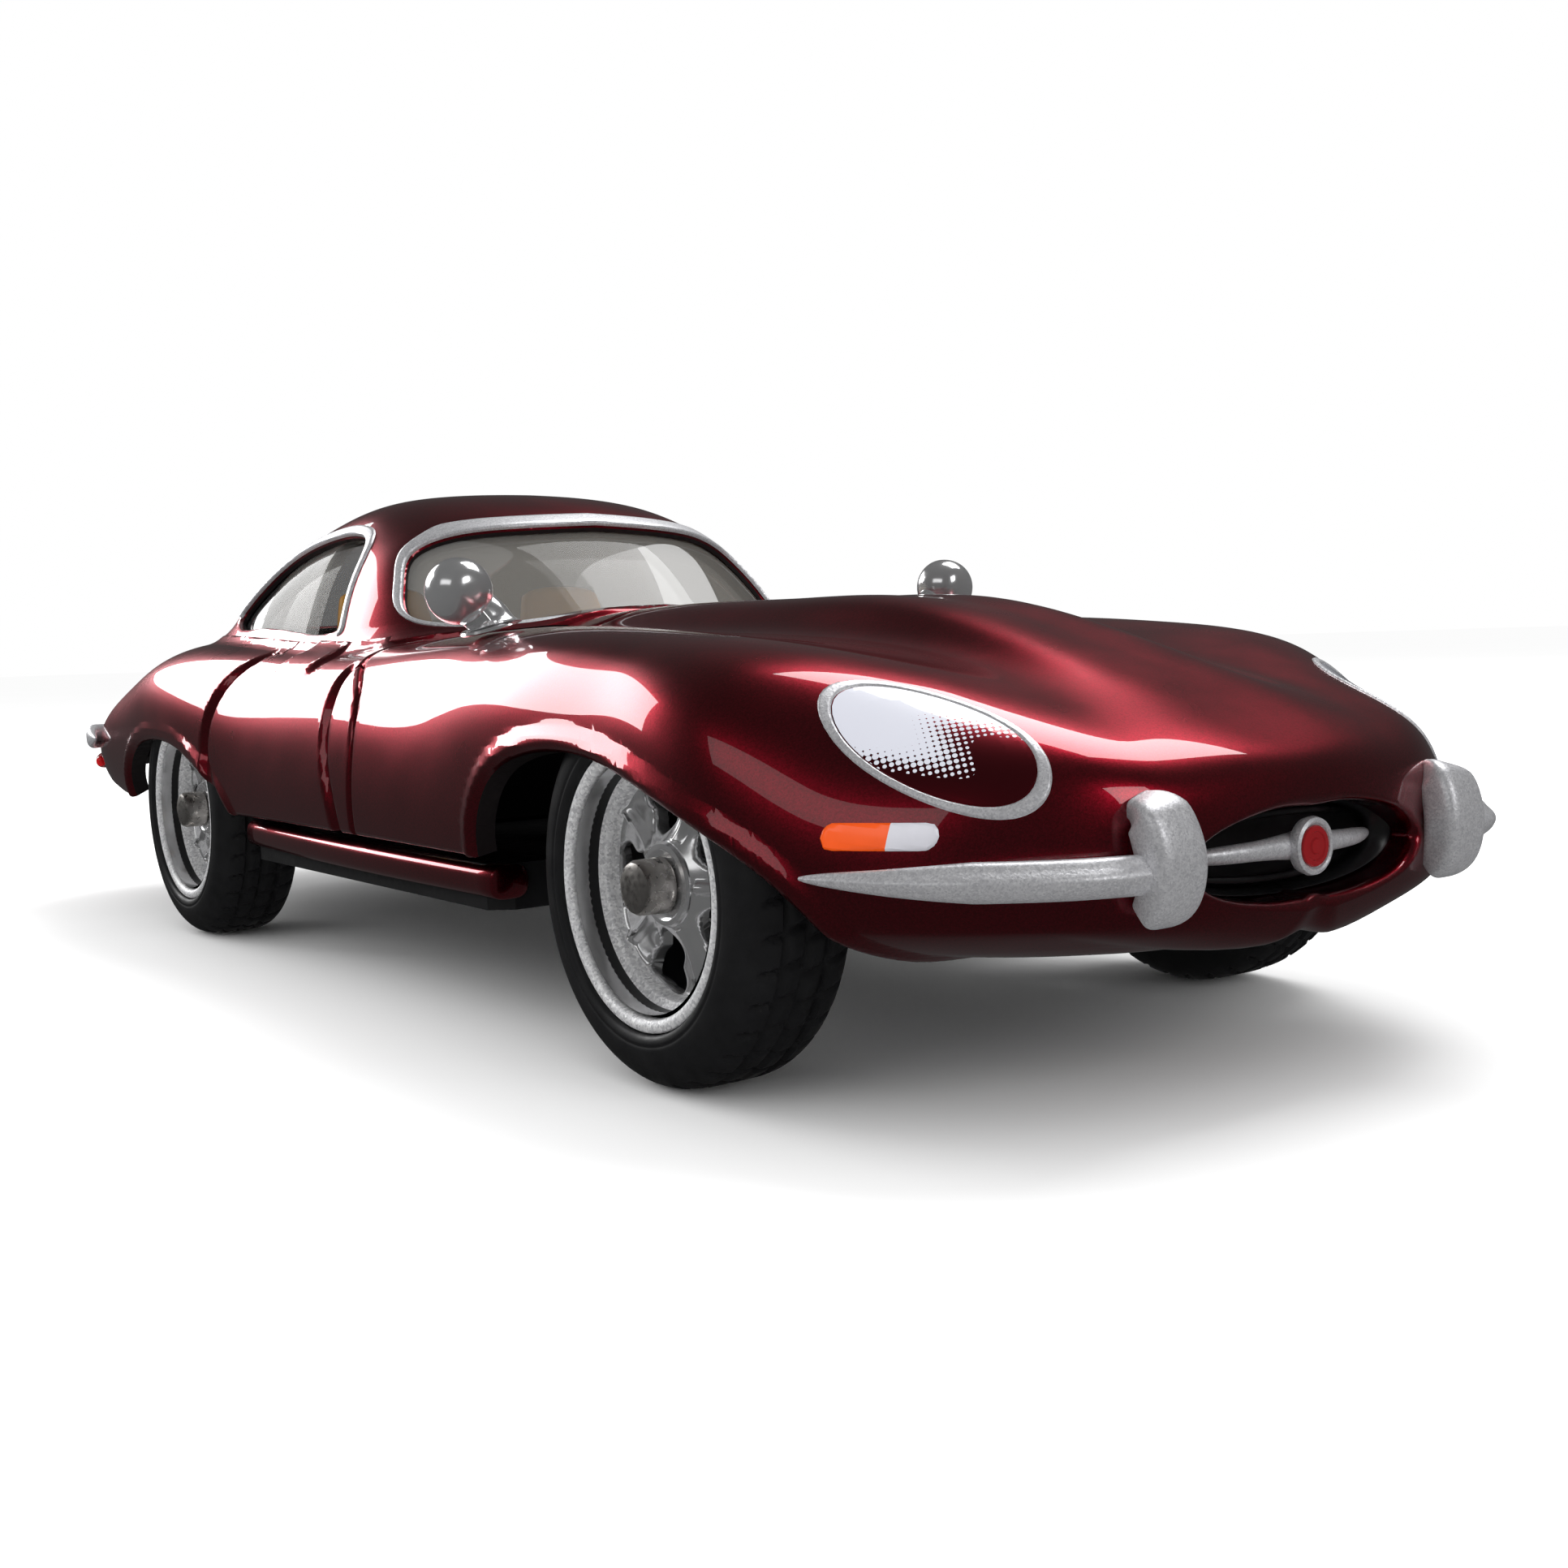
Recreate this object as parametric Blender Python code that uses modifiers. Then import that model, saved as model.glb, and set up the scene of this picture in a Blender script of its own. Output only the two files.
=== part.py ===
"""Die-cast collector coupe, 1:64. The nose points along +X, the left side is +Y and the tyres rest on Z = 0.
Tables are in millimetres from the ground under the front axle. The object's origin is its box centre."""

import math

import bpy
import numpy as np
from mathutils import Matrix, Vector

MM = 0.001
WHEELBASE = 38.1
TYRE_R = 5.68
RIM_R = 4.0
WHEEL_W = 3.6
AXLE_R = 0.45
FRONT_FACE_Y = 12.75
REAR_FACE_Y = 13.15
FRONT_AXLE_X = 22.795
WALL = 0.8
GLASS_GAP = 0.1
GLASS_T = 0.6
SEAM_GAP = 0.12
SILL_TOP = 5.75
BASE_Z = 4.0
BONNET_PIVOT = (9.6, 5.0)
ROUND = 24

# ---------------------------------------------------------------- scene, materials and small helpers

for old in list(bpy.data.objects):
    bpy.data.objects.remove(old)
car = bpy.data.collections.new("diecast_collector_car")
helpers = bpy.data.collections.new("cutters")
bpy.context.scene.collection.children.link(car)
bpy.context.scene.collection.children.link(helpers)


def material(name, colour, roughness, metallic, alpha=1.0):
    made = bpy.data.materials.new(name)
    made.use_nodes = True
    shader = made.node_tree.nodes["Principled BSDF"]
    shader.inputs["Base Color"].default_value = (*colour, 1.0)
    shader.inputs["Roughness"].default_value = roughness
    shader.inputs["Metallic"].default_value = metallic
    shader.inputs["Alpha"].default_value = alpha
    made.diffuse_color = (*colour, alpha)
    return made


PAINT = material("candy_red", (0.22, 0.01, 0.02), 0.2, 0.6)
SILVER = material("silver_paint", (0.75, 0.75, 0.76), 0.4, 0.8)
CHROME = material("chrome_plating", (0.85, 0.86, 0.88), 0.12, 1.0)
STEEL = material("steel", (0.6, 0.6, 0.6), 0.3, 1.0)
RUBBER = material("rubber", (0.015, 0.015, 0.015), 0.75, 0.0)
BLACK = material("black_plastic", (0.01, 0.01, 0.01), 0.4, 0.0)
TAN = material("tan_plastic", (0.72, 0.4, 0.1), 0.5, 0.0)
CLEAR = material("clear_plastic", (0.9, 0.92, 0.93), 0.05, 0.0, 0.35)
RED_LENS = material("red_lens", (0.6, 0.01, 0.01), 0.15, 0.0)
ENAMEL = material("red_enamel", (0.45, 0.01, 0.02), 0.25, 0.0)
CAST = material("cast_grey", (0.35, 0.35, 0.36), 0.45, 0.9)


def place(points):
    """Table millimetres from the front axle to metres from the object's origin."""
    return (np.asarray(points, float) + (FRONT_AXLE_X, 0, 0)) * MM


def add_mesh(name, points, faces, look=None, origin=None):
    """A mesh object. With origin, its points stay where they are and the object's own origin moves there."""
    pivot = place(origin) if origin is not None else np.zeros(3)
    mesh = bpy.data.meshes.new(name)
    mesh.from_pydata([tuple(p) for p in place(points) - pivot], [], faces)
    mesh.update()
    made = bpy.data.objects.new(name, mesh)
    made.location = pivot
    if look is None:
        helpers.objects.link(made)
        made.hide_render = True
        made.display_type = "WIRE"
    else:
        car.objects.link(made)
        mesh.materials.append(look)
    return made


def boolean(target, operation, *others):
    for other in others:
        step = target.modifiers.new(other.name, "BOOLEAN")
        step.operation = operation
        step.solver = "EXACT"
        step.object = other
    return target


def cut(target, *others):
    return boolean(target, "DIFFERENCE", *others)


def join(target, *others):
    return boolean(target, "UNION", *others)


def keep(target, other):
    return boolean(target, "INTERSECT", other)


# ---------------------------------------------------------------- shapes


def spline_weights(knots, at):
    """Rows of weights that sample a natural cubic spline through values at the knots."""
    n = len(knots)
    h = np.diff(knots)
    left, right = np.eye(n), np.zeros((n, n))
    for i in range(1, n - 1):
        left[i, i - 1 : i + 2] = h[i - 1], 2 * (h[i - 1] + h[i]), h[i]
        right[i, i - 1 : i + 2] = 6 / h[i - 1], -6 / h[i - 1] - 6 / h[i], 6 / h[i]
    bend = np.linalg.solve(left, right)
    i = np.clip(np.searchsorted(knots, at, side="right") - 1, 0, n - 2)
    u = ((at - knots[i]) / h[i])[:, None]
    square = (h[i] ** 2 / 6)[:, None]
    straight = (1 - u) * np.eye(n)[i] + u * np.eye(n)[i + 1]
    return straight + square * (((1 - u) ** 3 - (1 - u)) * bend[i] + (u**3 - u) * bend[i + 1])


def between(knots, count):
    """The knots with count - 1 evenly spaced values added inside each interval."""
    parts = [np.linspace(a, b, count, endpoint=False) for a, b in zip(knots[:-1], knots[1:])]
    return np.append(np.concatenate(parts), knots[-1])


def smooth_line(points, count):
    points = np.asarray(points, float)
    knots = np.append(0, np.cumsum(np.linalg.norm(np.diff(points, axis=0), axis=1)))
    return spline_weights(knots, between(knots, count)) @ points


def smooth_sheet(net, along, across, far_mirror):
    """Samples the spline surface through net, a table [station][row] of points from the centre outwards.
    The rows mirror in the centre plane at the first row and, with far_mirror, at the last one too."""
    net = np.asarray(net, float)
    flip = np.array([1, -1, 1])
    parts = [net[:, 2:0:-1] * flip, net]
    if far_mirror:
        parts.append(net[:, -2:-4:-1] * flip)
    wide = np.concatenate(parts, axis=1)
    step_u = np.linalg.norm(np.diff(net, axis=0), axis=2).mean(axis=1)
    step_v = np.linalg.norm(np.diff(wide, axis=1), axis=2).mean(axis=0)
    knots_u = np.append(0, np.cumsum(step_u))
    knots_v = np.append(0, np.cumsum(step_v))
    shown = knots_v[2 : 2 + net.shape[1]]
    weights_u = spline_weights(knots_u, between(knots_u, along))
    weights_v = spline_weights(knots_v, between(shown, across))
    return np.einsum("ui,vj,ijk->uvk", weights_u, weights_v, wide)


def inset(sheet, depth):
    """The sheet moved inwards along its own normals."""
    du = np.gradient(sheet, axis=0)
    dv = np.gradient(sheet, axis=1)
    du[:, [0, -1], 1] *= [0, 1]
    dv[:, 0, [0, 2]] = 0
    dv[:, 0, 1] = 1
    normal = np.cross(dv, du)
    normal /= np.maximum(np.linalg.norm(normal, axis=2, keepdims=True), 1e-9)
    return sheet - normal * depth


def tube_faces(rings, around, caps=True):
    faces = []
    for i in range(rings - 1):
        for j in range(around):
            k = (j + 1) % around
            faces.append((i * around + j, i * around + k, (i + 1) * around + k, (i + 1) * around + j))
    if caps:
        faces.append(tuple(range(around - 1, -1, -1)))
        faces.append(tuple((rings - 1) * around + j for j in range(around)))
    return faces


def both_sides(sheet, closed):
    """Rings from a half sheet: the mirrored half first, then the sheet itself."""
    flip = sheet * (1, -1, 1)
    mirrored = flip[:, ::-1]
    return np.concatenate([mirrored[:, :-1], sheet[:, : -1 if closed else None]], axis=1)


def hull_volume(name, sheet, look=None):
    """A closed body from a half sheet whose last row lies in the centre plane."""
    rings = both_sides(sheet, True)
    count, around = rings.shape[:2]
    return add_mesh(name, rings.reshape(-1, 3), tube_faces(count, around), look)


def dome_volume(name, sheet, floor, look=None):
    """A closed body between a half sheet, open below, and a flat floor."""
    rings = both_sides(sheet, False)
    count, around = rings.shape[:2]
    down = rings.copy()
    down[:, :, 2] = floor
    loop = np.concatenate([rings, down[:, ::-1]], axis=1)
    side = []
    for i in range(count - 1):
        for j in range(2 * around):
            k = (j + 1) % (2 * around)
            a = i * 2 * around
            b = a + 2 * around
            if around <= j < 2 * around - 1:
                continue
            side.append((a + j, a + k, b + k, b + j))
    last = (count - 1) * 2 * around
    for j in range(around - 1):
        top, low = j, 2 * around - 1 - j
        side.append((top + 1, top, low, low - 1))
        side.append((last + top, last + top + 1, last + low - 1, last + low))
    floor_left = [i * 2 * around + 2 * around - 1 for i in range(count)]
    floor_right = [i * 2 * around + around for i in range(count)]
    front = [around + j for j in range(1, around - 1)]
    back = [last + around + j for j in range(1, around - 1)]
    side.append(tuple(floor_left + back[::-1] + floor_right[::-1] + front))
    return add_mesh(name, loop.reshape(-1, 3), side, look)


def prism(name, outline, axis, low, high, look=None):
    """A closed outline, given in the two other axes, extruded along axis from low to high."""
    outline = np.asarray(outline, float)
    x, y = outline[:, 0], outline[:, 1]
    if (np.sum(x * np.roll(y, -1) - y * np.roll(x, -1)) > 0) == (axis == "y"):
        outline = outline[::-1]
    order = {"x": (2, 0, 1), "y": (0, 2, 1), "z": (0, 1, 2)}[axis]
    rings = []
    for level in (low, high):
        three = np.column_stack([outline, np.full(len(outline), level)])
        rings.append(three[:, order])
    return add_mesh(name, np.concatenate(rings), tube_faces(2, len(outline)), look)


def box(name, low, high, look=None):
    (x0, y0, z0), (x1, y1, z1) = low, high
    return prism(name, [(x0, y0), (x1, y0), (x1, y1), (x0, y1)], "z", z0, z1, look)


def rod(name, start, end, radius, look=None, steps=16, end_radius=None):
    """A round bar between two points."""
    return tube(name, [start, end], [radius, radius if end_radius is None else end_radius], look, steps)


def tube(name, path, radii, look=None, steps=12):
    """A round section swept along a path; each radius is a number or a pair (sideways, upright)."""
    path = np.asarray(path, float)
    ahead = np.gradient(path, axis=0)
    rings = []
    for p, d, r in zip(path, ahead, radii):
        wide, tall = (r, r) if np.isscalar(r) else r
        d = d / np.linalg.norm(d)
        guide = np.array([0, 0, 1.0]) if abs(d[2]) < 0.8 else np.array([1.0, 0, 0])
        side = np.cross(d, guide)
        side /= np.linalg.norm(side)
        up = np.cross(side, d)
        turn = np.arange(steps) * 2 * math.pi / steps
        rings.append(p - np.outer(np.cos(turn) * wide, side) + np.outer(np.sin(turn) * tall, up))
    return add_mesh(name, np.concatenate(rings), tube_faces(len(rings), steps), look)


def turned(name, profile, look=None, steps=ROUND):
    """A Screw of a closed profile of (radius, height) round local Z."""
    mesh = bpy.data.meshes.new(name)
    count = len(profile)
    points = [(r * MM, 0, z * MM) for r, z in profile]
    mesh.from_pydata(points, [(i, (i + 1) % count) for i in range(count)], [])
    made = bpy.data.objects.new(name, mesh)
    spin = made.modifiers.new("Turn", "SCREW")
    spin.steps = steps
    spin.render_steps = steps
    spin.use_merge_vertices = True
    spin.merge_threshold = 1e-7
    if look is None:
        helpers.objects.link(made)
        made.hide_render = True
        made.display_type = "WIRE"
    else:
        car.objects.link(made)
        mesh.materials.append(look)
    return made


def superellipse(half_wide, half_tall, power, count, centre=(0, 0)):
    turn = np.arange(count) * 2 * math.pi / count
    c, s = np.cos(turn), np.sin(turn)
    return np.column_stack(
        [
            centre[0] + half_wide * np.sign(c) * np.abs(c) ** (2 / power),
            centre[1] + half_tall * np.sign(s) * np.abs(s) ** (2 / power),
        ]
    )


# ---------------------------------------------------------------- body surfaces

# Each station holds nine points from the top centre line, over the bulge, valley, wing crown, shoulder,
# waist and lower side, to the bottom centre line.
LOWER = [
    [(12.95, 0, 7.95), (12.95, 1.6, 7.87), (12.9, 3.0, 7.6), (12.75, 4.3, 7.1), (12.65, 4.9, 6.55),
     (12.75, 4.6, 6.0), (12.85, 3.6, 5.5), (12.95, 2.0, 5.17), (12.95, 0, 5.05)],
    [(12.75, 0, 8.65), (12.7, 2.1, 8.6), (12.6, 4.0, 8.35), (12.35, 5.7, 7.85), (12.1, 6.6, 7.1),
     (12.1, 6.6, 6.2), (12.3, 5.5, 5.1), (12.55, 3.1, 4.6), (12.65, 0, 4.45)],
    [(11.2, 0, 9.75), (11.2, 2.5, 9.75), (11.1, 4.9, 9.6), (10.7, 7.5, 9.3), (10.1, 9.1, 8.4),
     (9.9, 9.85, 6.9), (10.1, 9.3, 5.1), (10.8, 6.3, 3.9), (11.2, 0, 3.7)],
    [(8.2, 0, 11.05), (8.2, 2.5, 11.0), (8.1, 4.6, 10.7), (7.6, 8.1, 10.7), (7.0, 10.7, 9.7),
     (6.6, 12.15, 7.4), (6.8, 11.6, 4.9), (7.6, 9.4, 3.6), (8.2, 0, 3.4)],
    [(4.2, 0, 12.35), (4.2, 2.5, 12.25), (4.2, 4.3, 11.6), (4.0, 9.4, 11.9), (3.8, 12.3, 10.95),
     (3.6, 13.25, 8.2), (3.8, 12.4, 4.9), (4.0, 10.6, 3.5), (4.2, 0, 3.3)],
    [(-1.0, 0, 13.5), (-1.0, 2.6, 13.35), (-1.0, 4.4, 12.3), (-1.0, 9.8, 12.6), (-1.0, 12.45, 11.65),
     (-1.0, 13.2, 8.5), (-1.0, 12.75, 4.9), (-1.0, 11.0, 3.5), (-1.0, 0, 3.3)],
    [(-6.5, 0, 13.72), (-6.5, 2.7, 13.55), (-6.5, 4.6, 12.6), (-6.5, 9.7, 12.95), (-6.5, 12.4, 11.85),
     (-6.5, 13.2, 8.5), (-6.5, 12.8, 5.0), (-6.5, 11.2, 3.6), (-6.5, 0, 3.4)],
    [(-12.5, 0, 13.8), (-12.5, 2.9, 13.65), (-12.5, 4.9, 12.85), (-12.5, 9.3, 13.0), (-12.5, 11.85, 11.75),
     (-12.5, 13.05, 8.3), (-12.5, 12.8, 5.1), (-12.5, 11.4, 3.7), (-12.5, 0, 3.5)],
    [(-18.5, 0, 13.6), (-18.5, 3.2, 13.5), (-18.5, 5.6, 13.0), (-18.5, 9.5, 12.8), (-18.5, 11.95, 11.5),
     (-18.5, 13.05, 8.2), (-18.5, 12.8, 5.2), (-18.5, 11.5, 3.8), (-18.5, 0, 3.6)],
    [(-24.5, 0, 13.2), (-24.5, 3.5, 13.15), (-24.5, 6.8, 13.0), (-24.5, 9.9, 12.6), (-24.5, 12.05, 11.3),
     (-24.5, 13.1, 8.1), (-24.5, 12.8, 5.2), (-24.5, 11.5, 3.8), (-24.5, 0, 3.6)],
    [(-30.5, 0, 13.1), (-30.5, 3.6, 13.1), (-30.5, 7.1, 13.0), (-30.5, 10.2, 12.65), (-30.5, 12.25, 11.4),
     (-30.5, 13.25, 8.2), (-30.5, 12.9, 5.2), (-30.5, 11.5, 3.9), (-30.5, 0, 3.6)],
    [(-36.5, 0, 13.3), (-36.5, 3.7, 13.3), (-36.5, 7.3, 13.2), (-36.5, 10.6, 12.9), (-36.5, 12.8, 11.7),
     (-36.5, 13.6, 8.6), (-36.5, 13.1, 5.3), (-36.5, 11.5, 4.0), (-36.5, 0, 3.7)],
    [(-42.5, 0, 13.4), (-42.5, 3.7, 13.4), (-42.5, 7.3, 13.3), (-42.5, 10.6, 12.95), (-42.5, 12.75, 11.7),
     (-42.5, 13.55, 8.8), (-42.5, 13.0, 5.5), (-42.5, 11.3, 4.2), (-42.5, 0, 3.9)],
    [(-48.0, 0, 12.9), (-48.0, 3.6, 12.9), (-48.0, 7.1, 12.8), (-48.0, 10.0, 12.4), (-48.0, 12.1, 11.1),
     (-48.0, 13.15, 8.7), (-48.0, 12.6, 5.8), (-48.0, 10.8, 4.6), (-48.0, 0, 4.3)],
    [(-52.7, 0, 11.8), (-52.7, 3.4, 11.8), (-52.6, 6.7, 11.7), (-52.5, 9.4, 11.3), (-52.4, 11.5, 10.3),
     (-52.3, 12.6, 8.6), (-52.4, 12.0, 6.3), (-52.5, 9.9, 5.2), (-52.7, 0, 4.9)],
    [(-56.4, 0, 10.5), (-56.3, 3.2, 10.5), (-56.1, 6.2, 10.4), (-55.8, 8.6, 10.1), (-55.5, 10.3, 9.4),
     (-55.4, 11.1, 8.4), (-55.5, 10.5, 7.1), (-55.9, 8.2, 6.2), (-56.4, 0, 5.9)],
    [(-58.4, 0, 9.1), (-58.4, 2.6, 9.1), (-58.2, 4.8, 9.05), (-57.9, 6.6, 8.9), (-57.7, 7.8, 8.6),
     (-57.6, 8.3, 8.15), (-57.7, 7.8, 7.6), (-58.0, 6.0, 7.25), (-58.4, 0, 7.1)],
]

# Each station holds six points from the centre line to the belt, from the windscreen's foot to the tail.
UPPER = [
    [(-17.0, 0, 13.2), (-17.6, 4.2, 13.1), (-19.2, 7.4, 12.8), (-21.3, 9.2, 12.4), (-23.6, 10.0, 12.0),
     (-25.2, 10.3, 11.6)],
    [(-19.6, 0, 15.3), (-20.1, 4.1, 15.15), (-21.4, 7.0, 14.8), (-22.9, 8.8, 14.3), (-24.8, 9.7, 13.4),
     (-26.2, 10.25, 11.7)],
    [(-22.4, 0, 17.35), (-22.8, 4.0, 17.15), (-23.8, 6.7, 16.7), (-24.8, 8.3, 16.0), (-26.2, 9.3, 14.6),
     (-27.4, 10.2, 11.8)],
    [(-24.2, 0, 18.25), (-24.5, 3.9, 18.0), (-25.2, 6.4, 17.5), (-26.2, 8.0, 16.7), (-27.6, 9.15, 15.0),
     (-28.8, 10.2, 11.8)],
    [(-28.0, 0, 19.15), (-28.1, 3.9, 18.95), (-28.4, 6.3, 18.4), (-28.9, 7.9, 17.3), (-30.0, 9.1, 15.2),
     (-31.0, 10.2, 11.8)],
    [(-34.0, 0, 19.0), (-34.0, 3.9, 18.8), (-34.0, 6.3, 18.25), (-34.2, 7.9, 17.1), (-34.8, 9.15, 15.1),
     (-35.4, 10.25, 11.8)],
    [(-40.0, 0, 17.75), (-40.0, 3.8, 17.55), (-39.8, 6.2, 17.05), (-39.5, 7.9, 16.0), (-39.4, 9.15, 14.4),
     (-39.4, 10.2, 11.8)],
    [(-46.0, 0, 15.4), (-45.9, 3.6, 15.25), (-45.6, 5.9, 14.8), (-45.0, 7.6, 14.0), (-44.2, 8.9, 12.9),
     (-43.6, 9.9, 11.4)],
    [(-51.3, 0, 12.65), (-51.1, 3.4, 12.5), (-50.7, 5.5, 12.2), (-50.0, 7.1, 11.8), (-48.8, 8.4, 11.3),
     (-47.6, 9.3, 10.8)],
    [(-55.2, 0, 10.5), (-55.0, 3.2, 10.4), (-54.5, 5.1, 10.25), (-53.6, 6.6, 10.3), (-52.0, 7.8, 10.35),
     (-50.4, 8.6, 10.4)],
]

SIDE_WINDOW = [(-26.9, 13.5), (-27.2, 15.2), (-27.7, 16.9), (-28.9, 17.35), (-31.5, 17.4), (-34.5, 17.15),
               (-37.5, 16.5), (-40.0, 15.25), (-41.1, 14.4), (-40.4, 14.05), (-37.0, 13.75), (-32.0, 13.5),
               (-28.0, 13.35)]
WINDSCREEN = [(0, 13.7), (4.5, 13.6), (7.6, 13.4), (8.75, 13.75), (8.5, 15.0), (7.7, 16.3), (6.4, 16.95),
              (4.0, 17.3), (0, 17.5)]
REAR_WINDOW = [(-38.2, 0), (-38.4, 3.2), (-39.4, 4.9), (-42.0, 5.1), (-45.5, 4.8), (-47.6, 4.1),
               (-48.4, 2.6), (-48.5, 0)]
BONNET_EDGE = [(-14.9, 0), (-15.2, 3.0), (-16.4, 6.0), (-18.7, 8.4), (-21.0, 9.8), (-21.3, 10.6),
               (-20.2, 11.7), (-18.9, 12.5), (-18.4, 13.3), (-18.4, 16)]
FRONT_ARCH = [(-8.6, 0), (-8.8, 5.0), (-8.7, 6.6), (-7.8, 8.2), (-5.8, 9.1), (-3.2, 9.35), (-0.8, 9.1),
              (1.6, 8.5), (3.9, 7.6), (5.8, 6.5), (7.0, 5.2), (7.4, 3.8), (7.4, 0)]
REAR_ARCH = [(-46.3, 0), (-46.2, 4.5), (-45.5, 6.6), (-43.6, 8.2), (-40.8, 8.8), (-37.9, 8.7), (-34.8, 7.9),
             (-32.6, 6.8), (-31.4, 5.8), (-30.9, 4.2), (-30.9, 0)]

lower_sheet = smooth_sheet(LOWER, 2, 2, True)
lower_inner = inset(smooth_sheet(LOWER, 1, 1, True), WALL)
upper_sheet = smooth_sheet(UPPER, 2, 2, False)
upper_inner = inset(smooth_sheet(UPPER, 2, 2, False), WALL)


def mirror_outline(half):
    """A closed outline from its half with positive second coordinates."""
    half = np.asarray(half, float)
    other = half[::-1] * (1, -1)
    return np.concatenate([half, other[1:-1]])


inner_hull = hull_volume("inner_hull", lower_inner[2:])
bonnet_plan = smooth_line(BONNET_EDGE, 2)
seam_front = np.concatenate([bonnet_plan, [(20, 16), (20, 0)]])
seam_rear = np.concatenate([bonnet_plan - (SEAM_GAP, 0), [(20, 16), (20, 0)]])
front_zone = prism("front_zone", mirror_outline(seam_front), "z", -5, 30)
rear_cut = prism("rear_cut", mirror_outline(seam_rear), "z", -5, 30)
under_front = prism("under_front", [(-19, -5), (8.6, -5), (8.6, 3.9), (6.5, 4.4), (5, SILL_TOP + 0.1),
                                    (-30, SILL_TOP + 0.1), (-30, -5)], "y", -20, 20)
under_rear = prism("under_rear", [(-10, -5), (-10, SILL_TOP + 0.1), (-48, SILL_TOP + 0.1), (-57, 6.9),
                                  (-65, 6.9), (-65, -5)], "y", -20, 20)
mouth = superellipse(4.75, 1.35, 2.2, 32, (0, 6.55))
mouth_cut = prism("mouth_cut", mouth, "x", 9.0, 15.0)
front_arch = prism("front_arch", smooth_line(FRONT_ARCH, 2), "y", -20, 20)
rear_arch = prism("rear_arch", smooth_line(REAR_ARCH, 2), "y", -20, 20)

RIM = [(4.0, 3.45), (4.0, 0.15), (3.55, 0.15), (3.45, 1.5), (1.2, 1.5), (1.2, 0.5), (0.56, 0.5), (0.56, 2.5),
       (1.15, 2.4), (1.3, 2.05), (3.1, 2.05), (3.45, 2.35), (3.65, 3.45)]
TYRE = [(4.05, 3.35), (4.4, 3.56), (4.9, 3.5), (5.35, 3.2), (5.6, 2.85), (5.68, 2.4), (5.68, 0.8), (5.6, 0.5),
        (5.2, 0.1), (4.5, 0.0), (4.05, 0.3)]
TYRE_ROOM = [(0.2, 3.75), (4.6, 3.75), (5.1, 3.68), (5.5, 3.4), (5.78, 3.0), (5.9, 2.5), (5.95, 0.5),
             (5.95, -0.6), (0.2, -0.6)]
WINDOW = [(1.55, -0.35), (1.95, -0.8), (2.6, -1.15), (3.0, -0.9), (3.12, 0), (3.0, 0.9), (2.6, 1.15),
          (1.95, 0.8), (1.55, 0.35)]

# ---------------------------------------------------------------- painted castings


def wheel_frame(x, face, out):
    """A wheel's frame: local Z points outwards and is 0 on its inner plane."""
    frame = Matrix.Rotation(-out * math.pi / 2, 4, "X")
    frame.translation = Vector(place((x, out * (face - WHEEL_W), TYRE_R)))
    return frame


rooms = {}
for axle, x, face in (("front", 0.0, FRONT_FACE_Y), ("rear", -WHEELBASE, REAR_FACE_Y)):
    rooms[axle] = []
    for side, out in (("left", 1), ("right", -1)):
        room = turned(f"tyre_room_{axle}_{side}", TYRE_ROOM)
        room.matrix_world = wheel_frame(x, face, out)
        rooms[axle].append(room)

bonnet = hull_volume("bonnet", lower_sheet, PAINT)
keep(bonnet, front_zone)
cut(bonnet, inner_hull, mouth_cut, under_front, front_arch, *rooms["front"])

upper_inside = dome_volume("upper_inside", upper_inner, 6.5)
side_windows = prism("side_windows", smooth_line(SIDE_WINDOW + SIDE_WINDOW[:1], 2)[:-1], "y", -20, 20)
windscreen = prism("windscreen", mirror_outline(smooth_line(WINDSCREEN, 2)[:, ::-1])[:, ::-1], "x", -25.8, -8)
rear_window = prism("rear_window", mirror_outline(smooth_line(REAR_WINDOW, 2)), "z", 13.2, 22)
body_post_rear = rod("body_post_rear", (-51.8, 0, 11.65), (-51.8, 0, 5.6), 1.3)
body_post_front = rod("body_post_front", (-17.3, 0, 13.22), (-17.3, 0, 5.6), 1.27, None, 18)
post_bore_rear = rod("post_bore_rear", (-51.8, 0, 10), (-51.8, 0, 5), 0.62)
post_bore_front = rod("post_bore_front", (-17.3, 0, 10), (-17.3, 0, 5), 0.62)
upper_shell = dome_volume("upper_shell", upper_sheet, 10.0)
cut(upper_shell, side_windows, windscreen, rear_window)

body_shell = hull_volume("body_shell", lower_sheet, PAINT)
cut(body_shell, rear_cut, inner_hull)
join(body_shell, upper_shell)
cut(body_shell, upper_inside, under_rear, rear_arch, *rooms["rear"])
join(body_shell, body_post_front, body_post_rear)
cut(body_shell, post_bore_front, post_bore_rear)

# ---------------------------------------------------------------- glazing: one clear insert under the roof

glass_outer = inset(smooth_sheet(UPPER, 2, 2, False), WALL + GLASS_GAP)
glass_inner = inset(smooth_sheet(UPPER, 2, 2, False), WALL + GLASS_GAP + GLASS_T)
glass_hollow = dome_volume("glass_hollow", glass_inner, 5.0)
door_light = box("door_light", (-31.6, -20, 5.0), (-26.0, 20, 17.6))
glass_foot = box("glass_foot", (-70, -20, 0), (0, 20, 12.3))
glazing = dome_volume("glazing", glass_outer, 7.0, CLEAR)
post_room = rod("post_room", (-17.3, 0, 15.0), (-17.3, 0, 5.0), 1.45)
cut(glazing, glass_hollow, door_light, glass_foot, post_room)

# ---------------------------------------------------------------- chassis

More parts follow.
